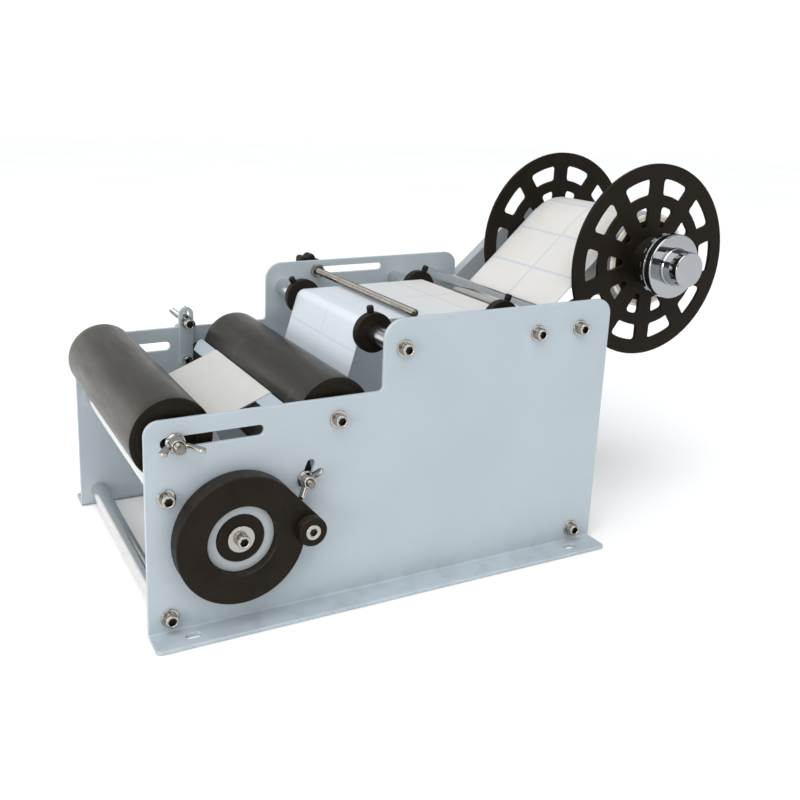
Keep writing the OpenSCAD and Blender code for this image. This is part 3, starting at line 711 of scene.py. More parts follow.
def cap_screw(bm, p, seat, s, length, rs=3.0, rh=5.0, hh=6.0, af=5.8, pitch=1.0, seg=96):
    """Socket head screw with a knurled head. Head towards s * X, seat at x = seat."""
    def knurl(r, x, a):
        return r - (0.11 * (0.5 - 0.5 * math.cos(48 * a)) if abs(r - rh) < 1e-6 else 0.0)
    hexf = lambda r, x, a: hexr(af, a)
    put = lambda x, y, z: V(seat + s * x, p[0] + y, p[1] + z)
    body = [(0.0, -length), (rs - 0.5, -length), (rs, -length + 0.6), (rs, -0.5), (rs + 0.3, -0.05), (rs + 0.3, 0.0)]
    body += [(rh - 0.35, 0.0), (rh - 0.1, 0.12), (rh, 0.45), (rh, hh - 0.95), (rh - 0.05, hh - 0.62), (rh - 0.22, hh - 0.28), (rh - 0.50, hh - 0.07), (rh - 0.85, hh)]
    body += [(af / 2 * 1.22, hh), (af / 2 * 1.155, hh - 0.25)]
    a = lathe(bm, body, seg=seg, rfun=knurl, xf=put)
    # the hex socket takes the painted-shade material in slot 1
    b = lathe(bm, [(af / 2, hh - 0.30), (af / 2, hh * 0.48)], seg=seg, rfun=hexf, xf=put, mat=1)
    top, low = a[-1], b[0]
    for i in range(seg):
        j = (i + 1) % seg
        bm.faces.new((top[i], top[j], low[j], low[i]))
    tip = bm.verts.new(put(hh * 0.36, 0.0, 0.0))
    for i in range(seg):
        bm.faces.new((b[-1][i], b[-1][(i + 1) % seg], tip)).material_index = 1


bm = bmesh.new()
for s in (1.0, -1.0):
    for p in RODS + [S3]:
        cap_screw(bm, p, s * (XO + 1.2), s, 20.0)
for p in (AB1, AB2):
    cap_screw(bm, p, -(XO + 1.2), -1.0, 8.2)
cap_screw(bm, RC, -(XI + 1.2), -1.0, 20.0)
cap_screw(bm, (ST[0], 133.0), -XI + 3, 1.0, 6.0, 2.5, 4.25, 5.0, 4.0)
finish_mesh(bm, "socket_screws", [M["fastener_steel"], M["socket_shade"]], "frame", ["cap_screws"], angle=30, merge=False)

# flat washers, slightly domed at the rim
bm = bmesh.new()
ws = [(s * XO, s, p) for s in (1.0, -1.0) for p in RODS + [S3]] + [(-XO, -1.0, AB1), (-XO, -1.0, AB2), (-XI, -1.0, RC)]
for x, s, p in ws:
    lathe(bm, ring_profile([(3.25, 0.0, 0.15), (7.0, 0.0, 0.1), (7.0, 1.2, 0.45), (3.25, 1.2, 0.15)], 3), seg=56, closed=True,
          xf=lambda a, y, z, x=x, s=s, p=p: V(x + s * a, p[0] + y, p[1] + z))
finish_mesh(bm, "flat_washer_set", [M["fastener_steel"]], "frame", ["flat_washers"], merge=False)


def wing_nut(name, node, body, x, s, p, ang, bore, k=1.0, tip=(18.0, 13.4), neck=0.0):
    """Cast wing nut on the X direction: seat at x, wings at the given angle round the axis."""
    ca, sa = math.cos(math.radians(ang)), math.sin(math.radians(ang))
    put = lambda a, y, z: V(s * (x + a), p[0] + (y * ca - z * sa), p[1] + (y * sa + z * ca))

    def solid(bm):
        bmesh.ops.remove_doubles(bm, verts=bm.verts[:], dist=1e-6)
        bmesh.ops.recalc_face_normals(bm, faces=bm.faces[:])
        me = bpy.data.meshes.new(name)
        bm.to_mesh(me)
        bm.free()
        o = bpy.data.objects.new(name + "_raw", me)
        SC.collection.objects.link(o)
        return o

    bm = bmesh.new()
    prof = [(bore, 0.0, 0.25), (7.4 * k, 0.0, 0.35 * k), (7.4 * k, 1.6 * k, 0.75 * k), (6.2 * k, 2.2 * k, 0.5 * k), (5.8 * k, 6.0 * k, 1.5 * k),
            (5.2 * k, 9.5 * k, 1.1 * k), (bore, 9.5 * k, 0.45)]
    if neck:
        prof = [(bore, -neck, 0.2), (4.2, -neck, 0.3), (4.2, 0.0, 0.2)] + prof[1:]
    lathe(bm, ring_profile(prof, 4), seg=64, closed=True, xf=put)
    o = solid(bm)
    cut = []
    w = math.degrees(math.atan2(tip[1] - 6, tip[0] - 6))
    for sg in (1.0, -1.0):
        wb = bmesh.new()
        ear = [(2.0, 4.3), (2.6, 6.8), (4.0, 8.0)] + arc(tip, 3.0, w + 96, w - 96, 18) + [(11.0, 7.0), (9.6, 5.6), (9.2, 4.3)]
        ear = [(a * k, r * k) for a, r in ear]
        slab(wb, [ear], -1.5 * k, 1.5 * k, lambda a, b, c, sg=sg: put(a, sg * b, c), 1.05 * k, 4)
        ow = solid(wb)
        cut.append(ow)
        md = o.modifiers.new("union", "BOOLEAN")
        md.operation, md.solver, md.object = "UNION", "EXACT", ow
    dg = bpy.context.evaluated_depsgraph_get()
    me = bpy.data.meshes.new_from_object(o.evaluated_get(dg))
    for ow in cut + [o]:
        bpy.data.objects.remove(ow)
    me.name = name
    me.materials.clear()
    me.materials.append(M["fastener_steel"])
    me.shade_smooth()
    me.set_sharp_from_angle(angle=math.radians(46))
    n = bpy.data.objects.new(name, me)
    SC.collection.objects.link(n)
    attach(n, body)
    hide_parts(node)
    return n


wing_nut("front_wing_nut_right", "right_front_wing_nut", "right_front_nut", XO + 0.1, 1.0, FP, -3, 4.0)
wing_nut("front_wing_nut_left", "left_front_wing_nut", "left_front_nut", XO + 0.1, -1.0, FP, 35, 4.0)
wing_nut("peel_wing_nut_right", "right_peel_wing_nut", "right_peel_nut", XO + 0.1, 1.0, PST, 50, 3.05, 0.92, (10.6, 12.2))
wing_nut("peel_wing_nut_left", "left_peel_wing_nut", "left_peel_nut", XO + 0.1, -1.0, PST, 20, 3.05, 0.92, (10.6, 12.2))
wing_nut("stop_wing_nut_outer", "stop_wing_nut", "stop_nut_wing", XO + 0.3, -1.0, ST, 62, 3.05, 0.8, (14.0, 12.0), 3.2)

# ------------------------------------------------------------------ rollers
for tag, p, body in (("front", FP, "front_roller"), ("rear", S3, "rear_roller")):
    bm = bmesh.new()
    prof = [(26.0, ROLL_X0, 0.2), (30.0, ROLL_X0, 0.8), (30.0, ROLL_X1, 0.8), (26.0, ROLL_X1, 0.2)]
    pr = ring_profile(prof, 5)
    # rings along the length keep the long faces short
    k = next(i for i in range(len(pr)) if abs(pr[i][0] - 30) < 1e-6 and abs(pr[(i + 1) % len(pr)][0] - 30) < 1e-6)
    x0, x1 = pr[k][1], pr[(k + 1) % len(pr)][1]
    pr = pr[: k + 1] + [(30.0, x0 + (x1 - x0) * i / 24) for i in range(1, 24)] + pr[k + 1 :]
    lathe(bm, pr, p, 144, closed=True)
    finish_mesh(bm, tag + "_rubber", [M["roller_rubber"]], body, [tag + "_roller_sleeve"])
    bm = bmesh.new()
    for s, x in ((1.0, ROLL_X1), (-1.0, ROLL_X0)):
        cp = ring_profile([(9.0, -3.0, 0.1), (25.95, -3.0, 0.1), (25.95, 0.0, 0.7), (17.0, 0.0, 0.5), (16.4, -1.5, 0.4), (9.0, -1.5, 0.3)], 4)
        lathe(bm, cp, seg=96, closed=True, xf=lambda a, y, z, s=s, x=x, p=p: V(x + s * a, p[0] + y, p[1] + z))
    finish_mesh(bm, tag + "_end_discs", [M["black_plastic"]], body, [tag + "_roller_end_caps"])

# front axle with threaded ends
bm = bmesh.new()
lathe(bm, rounded([(0.0, -115.4, 0), (6.0, -115.4, 0.5), (6.0, 115.4, 0.5), (0.0, 115.4, 0)], 3), FP, 64)
for s in (1.0, -1.0):
    tp = [(0.0, 115.2)] + thread_profile(115.2, 134.0, 3.95, 1.25) + [(0.0, 134.0)]
    lathe(bm, tp, seg=40, rfun=thread(0.55, 1.25), xf=lambda x, y, z, s=s: V(s * x, FP[0] + y, FP[1] + z))
finish_mesh(bm, "front_axle_bar", [M["thread_steel"]], "front_axle", ["front_axle"], merge=False, angle=50)

# ------------------------------------------------------------------ crank
bm = bmesh.new()
wp = [(8.02, XO + 0.6, 0.1), (13.0, XO + 0.6, 0.3), (13.0, XO + 2.5, 0.2), (49.0, XO + 2.5, 1.2), (49.0, XO + 17, 1.4), (27.4, XO + 17, 0.35),
      (26.2, XO + 15.8, 0.2), (26.2, XO + 9.7, 0.15), (18.0, XO + 9.7, 0.15), (18.0, XO + 11.8, 0.4), (8.02, XO + 11.8, 0.1)]
lathe(bm, ring_profile(wp, 5), CR, 192, closed=True)
ta = math.radians(42.4)
a0, a1 = math.radians(50), math.radians(-14)
lug = [(CR[0] + 46.5 * math.cos(t), CR[1] + 46.5 * math.sin(t)) for t in np.linspace(a1, a0, 16)]
tip = arc(LUG, 11.2, -122, 42.4, 26)
t0 = (CR[0] + 48.9 * math.cos(ta), CR[1] + 48.9 * math.sin(ta))
out = tip + [t0] + [(CR[0] + 45 * math.cos(math.radians(t)), CR[1] + 45 * math.sin(math.radians(t))) for t in (43, 30, 15, 5, -4, -11)]
slab(bm, [out, circle(LUG, 3.52, 40)], XO + 13.6, XO + 16.7, yz(), 0.9, 4)
finish_mesh(bm, "crank_wheel_body", [M["crank_plastic"]], "crank", ["crank_wheel"], weighted=True, angle=38)

bm = bmesh.new()
lathe(bm, ring_profile([(18.3, XO + 9.7, 0.1), (26.0, XO + 9.7, 0.1), (26.0, XO + 10.9, 0.35), (18.3, XO + 10.9, 0.35)], 3), CR, 128, closed=True)
finish_mesh(bm, "crank_face_ring", [M["trim_plastic"]], "crank", ["crank_trim_ring"])
bm = bmesh.new()
lathe(bm, ring_profile([(3.3, XO + 11.8, 0.1), (10.2, XO + 11.8, 0.1), (10.2, XO + 13.4, 0.45), (3.3, XO + 13.4, 0.2)], 3), CR, 80, closed=True)
finish_mesh(bm, "crank_centre_washer", [M["fastener_steel"]], "crank", ["crank_washer"])

bm = bmesh.new()
cap_screw(bm, CR, XO + 13.4, 1.0, 20.0)
af = 5.5
hexk = lambda r, x, a: hexr(af, a)
a_ = lathe(bm, rounded([(0.0, XO + 13.6, 0), (3.5, XO + 13.6, 0.2), (3.5, XO + 22.6, 0.1), (5.9, XO + 22.6, 0.2), (5.9, XO + 25.3, 0.5), (3.35, XO + 25.3, 0.15), (3.2, XO + 25.0, 0)], 3), LUG, 96)
# the hex socket takes the painted-shade material in slot 1
b_ = lathe(bm, [(2.75, XO + 24.9), (2.75, XO + 23.4)], LUG, 96, rfun=hexk, mat=1)
for i in range(96):
    j = (i + 1) % 96
    bm.faces.new((a_[-1][i], a_[-1][j], b_[0][j], b_[0][i]))
tipv = bm.verts.new(V(XO + 23.0, LUG[0], LUG[1]))
for i in range(96):
    bm.faces.new((b_[-1][i], b_[-1][(i + 1) % 96], tipv)).material_index = 1
finish_mesh(bm, "crank_bolts", [M["fastener_steel"], M["socket_shade"]], "crank", ["crank_screws"], angle=30, merge=False)

bm = bmesh.new()
kp = [(3.55, XO + 17.3, 0.15), (11.2, XO + 17.3, 0.9), (11.2, XO + 25.0, 1.3), (6.1, XO + 25.0, 0.35), (6.1, XO + 22.3, 0.1), (3.55, XO + 22.3, 0.1)]
lathe(bm, ring_profile(kp, 5), LUG, 96, closed=True)
finish_mesh(bm, "crank_grip", [M["crank_plastic"]], "crank_knob", ["crank_knob"])

# wound liner on the drum: a plain ring with rounded edges
bm = bmesh.new()
lp = ring_profile([(DRUM_R + 0.05, -WEB_HW, 0.05), (LINER_R, -WEB_HW, 0.2), (LINER_R, WEB_HW, 0.2), (DRUM_R + 0.05, WEB_HW, 0.05)], 2)
lathe(bm, lp, CR, 144, closed=True)
liner = finish_mesh(bm, "drum_liner", [M["liner_paper"]], "crank", ["wound_liner"])

# ------------------------------------------------------------------ label web
def web_mesh(name, pts, mats, body=None, v0=0.0, wave=0.0, cols=24, seed=3):
    rng = np.random.default_rng(seed)
    ph = rng.uniform(0, 2 * PI, 6)
    bm = bmesh.new()
    uvl = bm.loops.layers.uv.new("web")
    s = [v0]
    for (a, _), (b, _) in zip(pts[:-1], pts[1:]):
        s.append(s[-1] + math.hypot(b[0] - a[0], b[1] - a[1]))
    xs = np.linspace(-WEB_HW, WEB_HW, cols + 1)
    sides = []
    for sg in (1.0, -1.0):
        rows = []
        for k, ((p, th), sv) in enumerate(zip(pts, s)):
            n = (-math.sin(th), math.cos(th))
            row = []
            for x in xs:
                wv = wave * (math.sin(sv / 31 + x / 47 + ph[0]) * 0.5 + math.sin(sv / 17 - x / 29 + ph[1]) * 0.3 + math.sin(x / 15 + sv / 60 + ph[2]) * 0.2)
                fade = min(1.0, min(sv - s[0], s[-1] - sv) / 12.0)
                d = sg * WEB_T / 2 + wv * fade
                row.append((bm.verts.new(V(x, p[0] + n[0] * d, p[1] + n[1] * d)), x * MM, sv * MM))
            rows.append(row)
        sides.append(rows)

    def face(q, mi):
        f = bm.faces.new([v[0] for v in q])
        for l, v in zip(f.loops, q):
            l[uvl].uv = (v[1], v[2])
        f.material_index = mi

    for si, rows in enumerate(sides):
        for a, b in zip(rows[:-1], rows[1:]):
            for i in range(cols):
                face((a[i], a[i + 1], b[i + 1], b[i]), si)
    t, b = sides
    for k in range(len(pts) - 1):
        for i in (0, cols):
            face((t[k][i], t[k + 1][i], b[k + 1][i], b[k][i]), 1)
    for k in (0, len(pts) - 1):
        for i in range(cols):
            face((t[k][i], t[k][i + 1], b[k][i + 1], b[k][i]), 1)
    bmesh.ops.recalc_face_normals(bm, faces=bm.faces[:])
    me = bpy.data.meshes.new(name)
    bm.to_mesh(me)
    bm.free()
    me.shade_smooth()
    me.set_sharp_from_angle(angle=math.radians(40))
    for x in mats:
        me.materials.append(x)
    o = bpy.data.objects.new(name, me)
    SC.collection.objects.link(o)
    if body:
        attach(o, body)
    return o, s[-1]


# top face carries the labels: the heading's left side is below, so the labels are on the -normal side
web, send = web_mesh("label_strip", REAR, [M["liner_paper"], M["label_paper"]], "frame", v0=0.0, wave=0.22)
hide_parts("label_web")

up = route(4, 5, 1.0, start_shift=0.4)
# a little slack, so that the rise stays off the roller when the peel plate is set higher
r0, r1 = on(ROUTE[4], TH[4]), on(ROUTE[5], TH[4])


def slack(p):
    t = math.hypot(p[0] - r0[0], p[1] - r0[1]) / math.hypot(r1[0] - r0[0], r1[1] - r0[1])
    return 2.8 * t * (1 - t)


up = [((p[0] - slack(p) * math.sin(th), p[1] + slack(p) * math.cos(th)), th) for p, th in up]
half = turn(ROUTE[5], TH[4], TH[5], 12.0)
mid_i = len(half) // 2
rise, s1 = web_mesh("liner_rise", up[:-1] + half[: mid_i + 1], [M["liner_paper"], M["label_paper"]], None, v0=send)
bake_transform(rise)
front = turn(ROUTE[6], TH[5], TH[6], 8.0)
mid_f = len(front) // 2
flat = half[mid_i:] + [(x, TH[5]) for x in line_pts(half[-1][0], front[0][0], 3.0)] + front[: mid_f + 1]
top, s2 = web_mesh("liner_top", flat, [M["liner_paper"], M["liner_paper"]], "peel", v0=s1)
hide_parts("peel_web")
dp = on(ROUTE[7], TH[6])
down = front[mid_f:] + [(x, TH[6]) for x in line_pts(front[-1][0], dp, 3.0)] + [(dp, TH[6])]
fall, _ = web_mesh("liner_fall", down, [M["liner_paper"], M["liner_paper"]], None, v0=s2)
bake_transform(fall)

# wound labels on the core
bm = bmesh.new()
uvl = bm.loops.layers.uv.new("web")
seg, hw = 160, WEB_HW + 0.4
prof = [(41.05, -hw), (43.35, -hw), (43.5, -hw + 0.2)] + [(43.5, x) for x in np.linspace(-hw + 8, hw - 8, 9)] + [(43.5, hw - 0.2), (43.35, hw), (41.05, hw)]
rings = []
a_off = TH[0] - PI / 2
for r, x in prof:
    rings.append([(bm.verts.new(V(x, RC[0] + r * math.cos(a_off - 2 * PI * i / seg), RC[1] + r * math.sin(a_off - 2 * PI * i / seg))), x * MM) for i in range(seg)])
for k in range(len(prof)):
    a, b = rings[k], rings[(k + 1) % len(prof)]
    for i in range(seg):
        j = (i + 1) % seg
        f = bm.faces.new((a[i][0], a[j][0], b[j][0], b[i][0]))
        vi, vj = -2 * PI * ROLL_R * i / seg * MM, -2 * PI * ROLL_R * (i + 1) / seg * MM
        for l, uv in zip(f.loops, ((a[i][1], vi), (a[j][1], vj), (b[j][1], vj), (b[i][1], vi))):
            l[uvl].uv = uv
        f.material_index = 0 if 2 <= k < len(prof) - 3 else 1
roll = finish_mesh(bm, "label_winding", [M["label_paper"], M["paper_edge"]], "reel", ["label_roll"], merge=False)


# ------------------------------------------------------------------ peel plate and its arms
psl = TH[5]
bm = bmesh.new()
tl = math.hypot(N2[0] - EC[0], N2[1] - EC[1]) + 0.9
strip = [(-106.0, -0.9), (113.2, -0.9), (113.2, 4.0), (91.0, 13.0), (63.0, 13.0), (63.0, tl), (-63.0, tl), (-63.0, 13.0), (-91.0, 13.0), (-106.0, 4.0)]
put = lambda a, b, c: V(a, EC[0] + b * math.cos(psl) - c * math.sin(psl), EC[1] + b * math.sin(psl) + c * math.cos(psl))
slab(bm, [strip], -0.9, 0.9, put, 0.8, 4)
finish_mesh(bm, "peel_strip", [M["plate_paint"]], "peel", ["peel_plate"], weighted=True)

bm = bmesh.new()
# The arms are black, and a black bar and block run under the strip to carry it; their black also stands in for the deep
# shade under the web.
arm = arc(PST, 8.0, 180, 360, 20) + [(-80.0, 142.0), (-83.9, 153.0), (-85.35, 153.9)]
slab(bm, [[(-92.0, 131.0), (-88.3, 131.0), (-88.3, 148.9), (-92.0, 148.9)]], -107.0, 114.2, yz(), 0.5, 3)
slab(bm, [[(-108.0, 126.0), (-91.0, 126.0), (-91.0, 149.5), (-108.0, 142.8)]], -61.0, 114.2, yz(), 0.5, 3)
slab(bm, [arm + [(-109.0, 143.4), (-109.0, 125.0), (-90.5, 120.0)]], 113.2, 115.2, yz(), 0.35, 2)
slab(bm, [arm + [(-92.5, 149.6), (-92.5, 130.0)]], -108.0, -106.0, yz(), 0.35, 2)
for s, x in ((1.0, 115.0), (-1.0, 107.8)):
    tp = [(0.0, x)] + thread_profile(x, 131.5, 3.0, 1.0) + [(0.0, 131.5)]
    lathe(bm, tp, seg=36, rfun=thread(0.42, 1.0), mat=1, xf=lambda a, y, z, s=s: V(s * a, PST[0] + y, PST[1] + z))
finish_mesh(bm, "peel_side_arms", [M["black_steel"], M["thread_steel"]], "peel", ["peel_arms"], merge=False, angle=50)


# ------------------------------------------------------------------ guide collars and thumb screws
def guide(tag, s, p, ang, body):
    bm = bmesh.new()
    x0 = 64.6
    pr = ring_profile([(7.55, x0, 0.3), (16.5, x0, 0.9), (16.5, x0 + 7.5, 0.9), (7.55, x0 + 7.5, 0.5)], 4)
    lathe(bm, pr, p, 112, closed=True, s=s)
    finish_mesh(bm, tag + "_guide_ring", [M["black_plastic"]], body, [tag + "_collar"])
    bm = bmesh.new()
    t = math.radians(ang)
    # local axis a runs outwards from the rod
    put = lambda a, y, z: V(s * (x0 + 3.75) + z * s, p[0] + y * math.cos(t) - a * math.sin(t), p[1] + y * math.sin(t) + a * math.cos(t))
    kn = lambda r, x, a: r - (0.16 * (0.5 - 0.5 * math.cos(22 * a)) if abs(r - 2.9) < 1e-6 else 0.0)
    pr = rounded([(0.0, 7.8, 0), (2.0, 7.8, 0.2), (2.0, 16.5, 0.1), (2.7, 16.5, 0.2), (2.7, 16.95, 0.1), (2.9, 17.15, 0), (2.9, 21.2, 0), (2.75, 21.5, 0.1), (2.3, 22.3, 0.3), (0.9, 22.3, 0.1), (0.0, 22.0, 0)], 2)
    lathe(bm, pr, seg=66, rfun=kn, xf=put)
    finish_mesh(bm, tag + "_guide_screw", [M["black_steel"]], body, [tag + "_thumb_screw"], merge=False)


guide("front_right", 1.0, S4, 9, "front_right_guide")
guide("front_left", -1.0, S4, 33, "front_left_guide")
guide("rear_right", 1.0, S5, -19, "rear_right_guide")
guide("rear_left", -1.0, S5, -23, "rear_left_guide")

# ------------------------------------------------------------------ hold-down rod and star knob
bm = bmesh.new()
tp = [(0.0, -141.0)] + thread_profile(-141.0, 73.0, 3.4, 1.25) + [(0.0, 73.0)]
lathe(bm, tp, HD0, 32, rfun=thread(0.50, 1.25))
finish_mesh(bm, "hold_down_bar", [M["thread_steel"]], "hold_down", ["hold_down_rod"], merge=False, angle=60)


def hex_nut(name, node, body, x0, x1, p, rc, bore):
    """Chamfered hex nut between x0 and x1."""
    bm = bmesh.new()
    h = x1 - x0
    def hx(r, x, a):
        t = min(x - x0, x1 - x)
        full = hexr(rc * math.sqrt(3), a)
        return full if r > 0 and r >= rc * 0.5 and t > 0.75 else min(full, rc * 0.90 + t * 0.45) if r >= rc * 0.5 else r
    pr = [(bore, x0 + 0.3), (bore + 0.35, x0), (rc, x0), (rc, x0 + 0.35), (rc, x0 + 0.76), (rc, x1 - 0.76), (rc, x1 - 0.35), (rc, x1), (bore + 0.35, x1), (bore, x1 - 0.3)]
    lathe(bm, pr, p, 72, rfun=hx, closed=True)
    return finish_mesh(bm, name, [M["fastener_steel"]], body, [node], merge=False, angle=30)


hex_nut("hold_down_hex", "hold_down_nut", "hold_down", -XI + 0.1, -XI + 6, HD0, 6.9, 3.42)
hex_nut("stop_hex", "stop_nut", "stop", -XI + 3.1, -XI + 8, ST, 5.8, 3.02)

bm = bmesh.new()
def star(r, x, a):
    lobe = (0.5 + 0.5 * math.cos(7 * (a - math.radians(77)))) ** 0.7
    return r - max(0.0, min(1.0, (r - 7.6) / 6.0)) * 2.9 * (1 - lobe)


sp = rounded([(0.0, -XO - 23.9, 0), (3.45, -XO - 23.9, 0), (3.45, -XO - 0.2, 0.2), (7.5, -XO - 0.2, 0.5), (7.5, -XO - 12.5, 0.4), (13.6, -XO - 12.5, 2.2),
              (13.6, -XO - 27.0, 2.9), (8.8, -XO - 27.0, 0.7), (8.0, -XO - 26.2, 0.4), (0.0, -XO - 26.0, 0)], 5)
lathe(bm, sp, HD0, 168, rfun=star)
finish_mesh(bm, "star_grip", [M["black_plastic"]], "star_knob", ["star_knob"], angle=44)

# ------------------------------------------------------------------ stop screw
bm = bmesh.new()
cap_screw(bm, ST, -XI + 10, 1.0, 6.0)
tp = [(0.0, -160.0)] + thread_profile(-160.0, -111.0, 3.0, 1.0) + [(0.0, -111.0)]
lathe(bm, tp, ST, 36, rfun=thread(0.42, 1.0))
finish_mesh(bm, "stop_bolt", [M["fastener_steel"], M["socket_shade"]], "stop", ["stop_screw"], angle=30, merge=False)


# ------------------------------------------------------------------ reel
SPOKE, WR = 15.4, 3.0
pol = lambda r, a: (r * math.cos(math.radians(a)), r * math.sin(math.radians(a)))
wa = lambda r: 18 - math.degrees(math.asin((SPOKE / 2 + WR) / r))


def bend(c, r, a0, a1, n):
    return [(c[0] + pol(r, a0 + (a1 - a0) * i / n)[0], c[1] + pol(r, a0 + (a1 - a0) * i / n)[1]) for i in range(n + 1)]


def window(half):
    return half + [(a, -b) for a, b in half[-2:0:-1]]


def half_outer(r0, r1):
    return (bend((0, 0), r0, 0, wa(r0 + WR), 6) + bend(pol(r0 + WR, wa(r0 + WR)), WR, 180 + wa(r0 + WR), 108, 8)[1:]
            + bend(pol(r1 - WR, wa(r1 - WR)), WR, 108, wa(r1 - WR), 8) + [pol(r1, wa(r1 - WR) * (6 - i) / 6) for i in range(1, 7)])


def half_inner(r1):
    return (bend(((SPOKE / 2 + WR) / math.sin(math.radians(18)), 0), WR, 180, 108, 8)
            + bend(pol(r1 - WR, wa(r1 - WR)), WR, 108, wa(r1 - WR), 8) + [pol(r1, wa(r1 - WR) * (4 - i) / 4) for i in range(1, 5)])


def turned(l, a):
    c, s_ = math.cos(math.radians(a)), math.sin(math.radians(a))
    return [(RC[0] + x * c - y * s_, RC[1] + x * s_ + y * c) for x, y in l]


def reel_disc(name, node, s, hub_r, hub_x, body):
    bm = bmesh.new()
    loops = [circle(RC, 88.3, 180)]
    for i in range(10):
        loops += [turned(window(half_outer(60.5, 75.0)), 36 * i), turned(window(half_inner(50.0)), 36 * i)]
    loops.append(circle(RC, 10.05, 64))
    slab(bm, loops, 64.8, 68.0, yz(s), 0.5, 3)
    lathe(bm, ring_profile([(10.05, 67.9, 0.05), (hub_r, 67.9, 0.05), (hub_r, hub_x, 0.6), (10.05, hub_x, 0.3)], 4), RC, 96, closed=True, s=s)
    lathe(bm, ring_profile([(33.8, 50.0, 0.3), (37.3, 50.0, 1.0), (37.3, 65.0, 0.05), (33.8, 65.0, 0.05)], 4), RC, 96, closed=True, s=s)
    lathe(bm, ring_profile([(10.05, 50.0, 0.3), (15.0, 50.0, 0.6), (15.0, 65.0, 0.05), (10.05, 65.0, 0.05)], 4), RC, 80, closed=True, s=s)
    return finish_mesh(bm, name, [M["disc_plastic"]], body, [node], weighted=True, merge=False)


reel_disc("reel_disc_left", "left_reel_disc", -1.0, 20.0, 69.7, "reel")
reel_disc("reel_disc_right", "right_reel_disc", 1.0, 22.0, 84.0, "near_flange")

bm = bmesh.new()
lc = [(10.05, 84.0, 0.2), (27.5, 84.0, 0.8), (28.5, 85.2, 0.4), (28.5, 89.4, 0.3), (27.7, 89.9, 0.2), (27.7, 90.6, 0.2), (29.0, 91.2, 0.4), (29.0, 97.7, 1.1), (10.05, 97.7, 0.3)]
lathe(bm, ring_profile(lc, 6), RC, 192, closed=True)
finish_mesh(bm, "lock_flange", [M["hub_chrome"]], "near_flange", ["lock_collar"], weighted=True, angle=50)
bm = bmesh.new()
lk = rounded([(0.0, 92.6, 0), (10.0, 92.6, 0.3), (10.0, 98.0, 0.1), (17.0, 98.0, 0.25), (17.0, 99.5, 0.4), (16.3, 100.4, 0.5), (15.6, 115.3, 1.0), (0.0, 115.3, 0)], 6)
lathe(bm, lk, RC, 160)
finish_mesh(bm, "lock_grip", [M["hub_chrome"]], "lock_knob", ["lock_knob"], weighted=True, angle=50)


# ------------------------------------------------------------------ floor, light, camera
me = bpy.data.meshes.new("floor")
me.from_pydata([(-6, -6, 0), (6, -6, 0), (6, 6, 0), (-6, 6, 0)], [], [(0, 1, 2, 3)])
floor = bpy.data.objects.new("floor", me)
SC.collection.objects.link(floor)
floor.location.z = -0.0004
fm = Mat("studio_floor")
fc = fm.mix(fm.range(fm.noise(3.0, 3.0), 0.3, 0.7, 0.0, 1.0), (0.90, 0.90, 0.90), (0.93, 0.93, 0.93))
fm.set(Base_Color=fc, Roughness=0.75)
me.materials.append(fm.m)

# plain white surround that only direct views see; it lights nothing
me = bpy.data.meshes.new("surround")
ring = [(5.8 * math.cos(2 * PI * i / 72), 5.8 * math.sin(2 * PI * i / 72)) for i in range(72)]
me.from_pydata([(x, y, z) for z in (-0.0003, 5.0) for x, y in ring], [], [(i, (i + 1) % 72, 72 + (i + 1) % 72, 72 + i) for i in range(72)])
surround = bpy.data.objects.new("surround", me)
SC.collection.objects.link(surround)
sm = bpy.data.materials.new("surround_white")
sm.use_nodes = True
sm.node_tree.nodes.clear()
se = sm.node_tree.nodes.new("ShaderNodeEmission")
se.inputs["Color"].default_value = (1.0, 1.0, 1.0, 1.0)
se.inputs["Strength"].default_value = 1.1
sm.node_tree.links.new(se.outputs[0], sm.node_tree.nodes.new("ShaderNodeOutputMaterial").inputs["Surface"])
me.materials.append(sm)
surround.visible_diffuse = surround.visible_glossy = surround.visible_transmission = surround.visible_volume_scatter = surround.visible_shadow = False

world = bpy.data.worlds.new("studio")
SC.world = world
world.use_nodes = True
wt = world.node_tree
wt.nodes.clear()


def wnode(kind, **k):
    n = wt.nodes.new(kind)
    for q, v in k.items():
        setattr(n, q, v)
    return n


def wrange(v, a, b, c, d):
    n = wnode("ShaderNodeMapRange", interpolation_type="SMOOTHSTEP")
    wt.links.new(v, n.inputs[0])
    for i, x in enumerate((a, b, c, d)):
        n.inputs[i + 1].default_value = x
    return n.outputs[0]


def wmix(f, a, b):
    n = wnode("ShaderNodeMix", data_type="RGBA")
    wt.links.new(f, n.inputs[0])
    for s, v in ((n.inputs[6], a), (n.inputs[7], b)):
        if isinstance(v, tuple):
            s.default_value = (*v, 1.0)
        else:
            wt.links.new(v, s)
    return n.outputs[2]


# bright low surround, greyer overhead, a dim room behind the viewer
wdir = wnode("ShaderNodeTexCoord").outputs["Generated"]
wsep = wnode("ShaderNodeSeparateXYZ")
wt.links.new(wdir, wsep.inputs[0])
wdot = wnode("ShaderNodeVectorMath", operation="DOT_PRODUCT")
wt.links.new(wdir, wdot.inputs[0])
wdot.inputs[1].default_value = (0.902, -0.432, 0.0)
low = wrange(wsep.outputs[2], 0.13, 0.34, 1.0, 0.0)
top = wrange(wsep.outputs[2], 0.55, 0.95, 0.0, 1.0)
sky = wmix(top, (0.40, 0.42, 0.45), (0.80, 0.82, 0.84))
sky = wmix(low, sky, (1.10, 1.10, 1.10))
dim = wrange(wdot.outputs["Value"], 0.05, 0.62, 0.0, 0.92)
sky = wmix(dim, sky, (0.135, 0.118, 0.100))
bg = wnode("ShaderNodeBackground")
wt.links.new(sky, bg.inputs["Color"])
bg.inputs["Strength"].default_value = 1.0
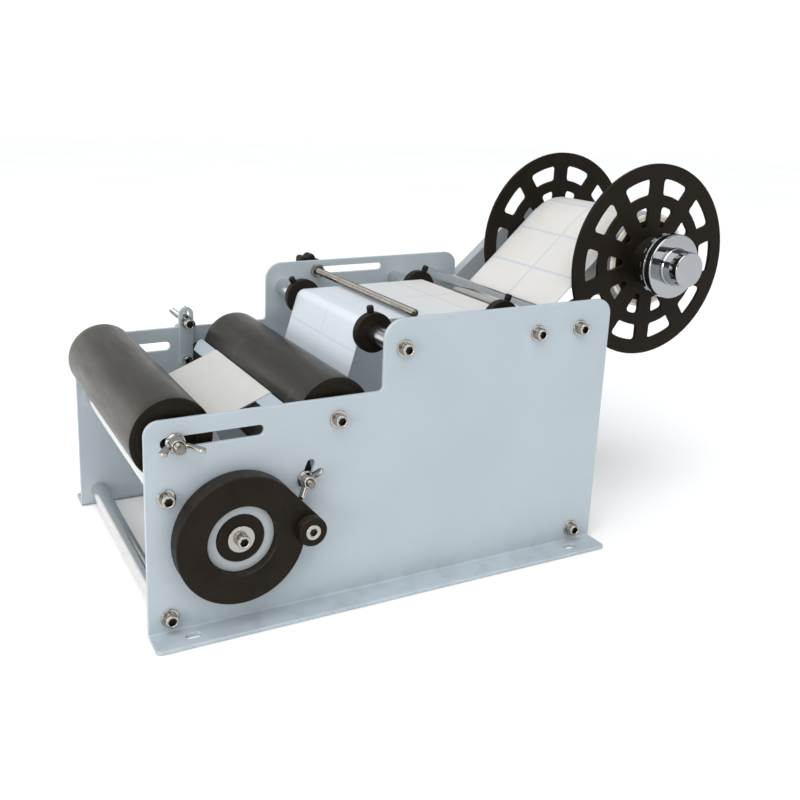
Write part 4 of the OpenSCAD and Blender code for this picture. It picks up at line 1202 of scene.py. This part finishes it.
wo = wnode("ShaderNodeOutputWorld")
wt.links.new(bg.outputs[0], wo.inputs[0])


def aim(o, loc, target):
    o.location = loc
    o.rotation_euler = (Vector(target) - Vector(loc)).to_track_quat("-Z", "Y").to_euler()


def area_light(name, loc, target, size, power, col=(1, 1, 1)):
    l = bpy.data.lights.new(name, "AREA")
    l.shape = "RECTANGLE"
    l.size, l.size_y = size
    l.energy = power
    l.color = col
    o = bpy.data.objects.new(name, l)
    SC.collection.objects.link(o)
    aim(o, loc, target)
    return o


sun = bpy.data.lights.new("overhead", "SUN")
sun.energy = 2.36
sun.angle = math.radians(62)
so = bpy.data.objects.new("overhead", sun)
SC.collection.objects.link(so)
aim(so, (0.95, -0.75, 1.75), (0, 0, 0))
area_light("front_left", (-0.5, -1.6, 0.95), (0, -0.05, 0.12), (0.9, 0.8), 7.0, (1.0, 0.99, 0.97))
area_light("viewer_fill", (0.85, -1.45, 0.42), (-0.10, -0.16, 0.09), (0.7, 0.5), 9.0, (1.0, 0.99, 0.98))
area_light("side_right", (1.7, 0.75, 0.75), (0.1, 0.1, 0.12), (0.7, 0.9), 4.6, (0.95, 0.98, 1.0))

R = ((0.42711407, 0.90394031, 0.02157505), (0.23572582, -0.08828177, -0.96780146), (-0.87293007, 0.41844742, -0.25078845))
cam_d = bpy.data.cameras.new("camera")
cam = bpy.data.objects.new("camera", cam_d)
SC.collection.objects.link(cam)
cam.matrix_world = Matrix((
    (R[0][0], -R[1][0], -R[2][0], 0.69703),
    (R[0][1], -R[1][1], -R[2][1], -0.34666),
    (R[0][2], -R[1][2], -R[2][2], 0.38706),
    (0, 0, 0, 1)))
cam_d.sensor_width = 36.0
cam_d.sensor_fit = "HORIZONTAL"
cam_d.lens = 928.19 / 800 * 36.0
cam_d.shift_x = (400 - 320.32) / 800
cam_d.shift_y = (324.79 - 400) / 800
cam_d.clip_start, cam_d.clip_end = 0.01, 50.0
SC.camera = cam
SC.view_settings.view_transform = "Standard"
SC.view_settings.look = "None"
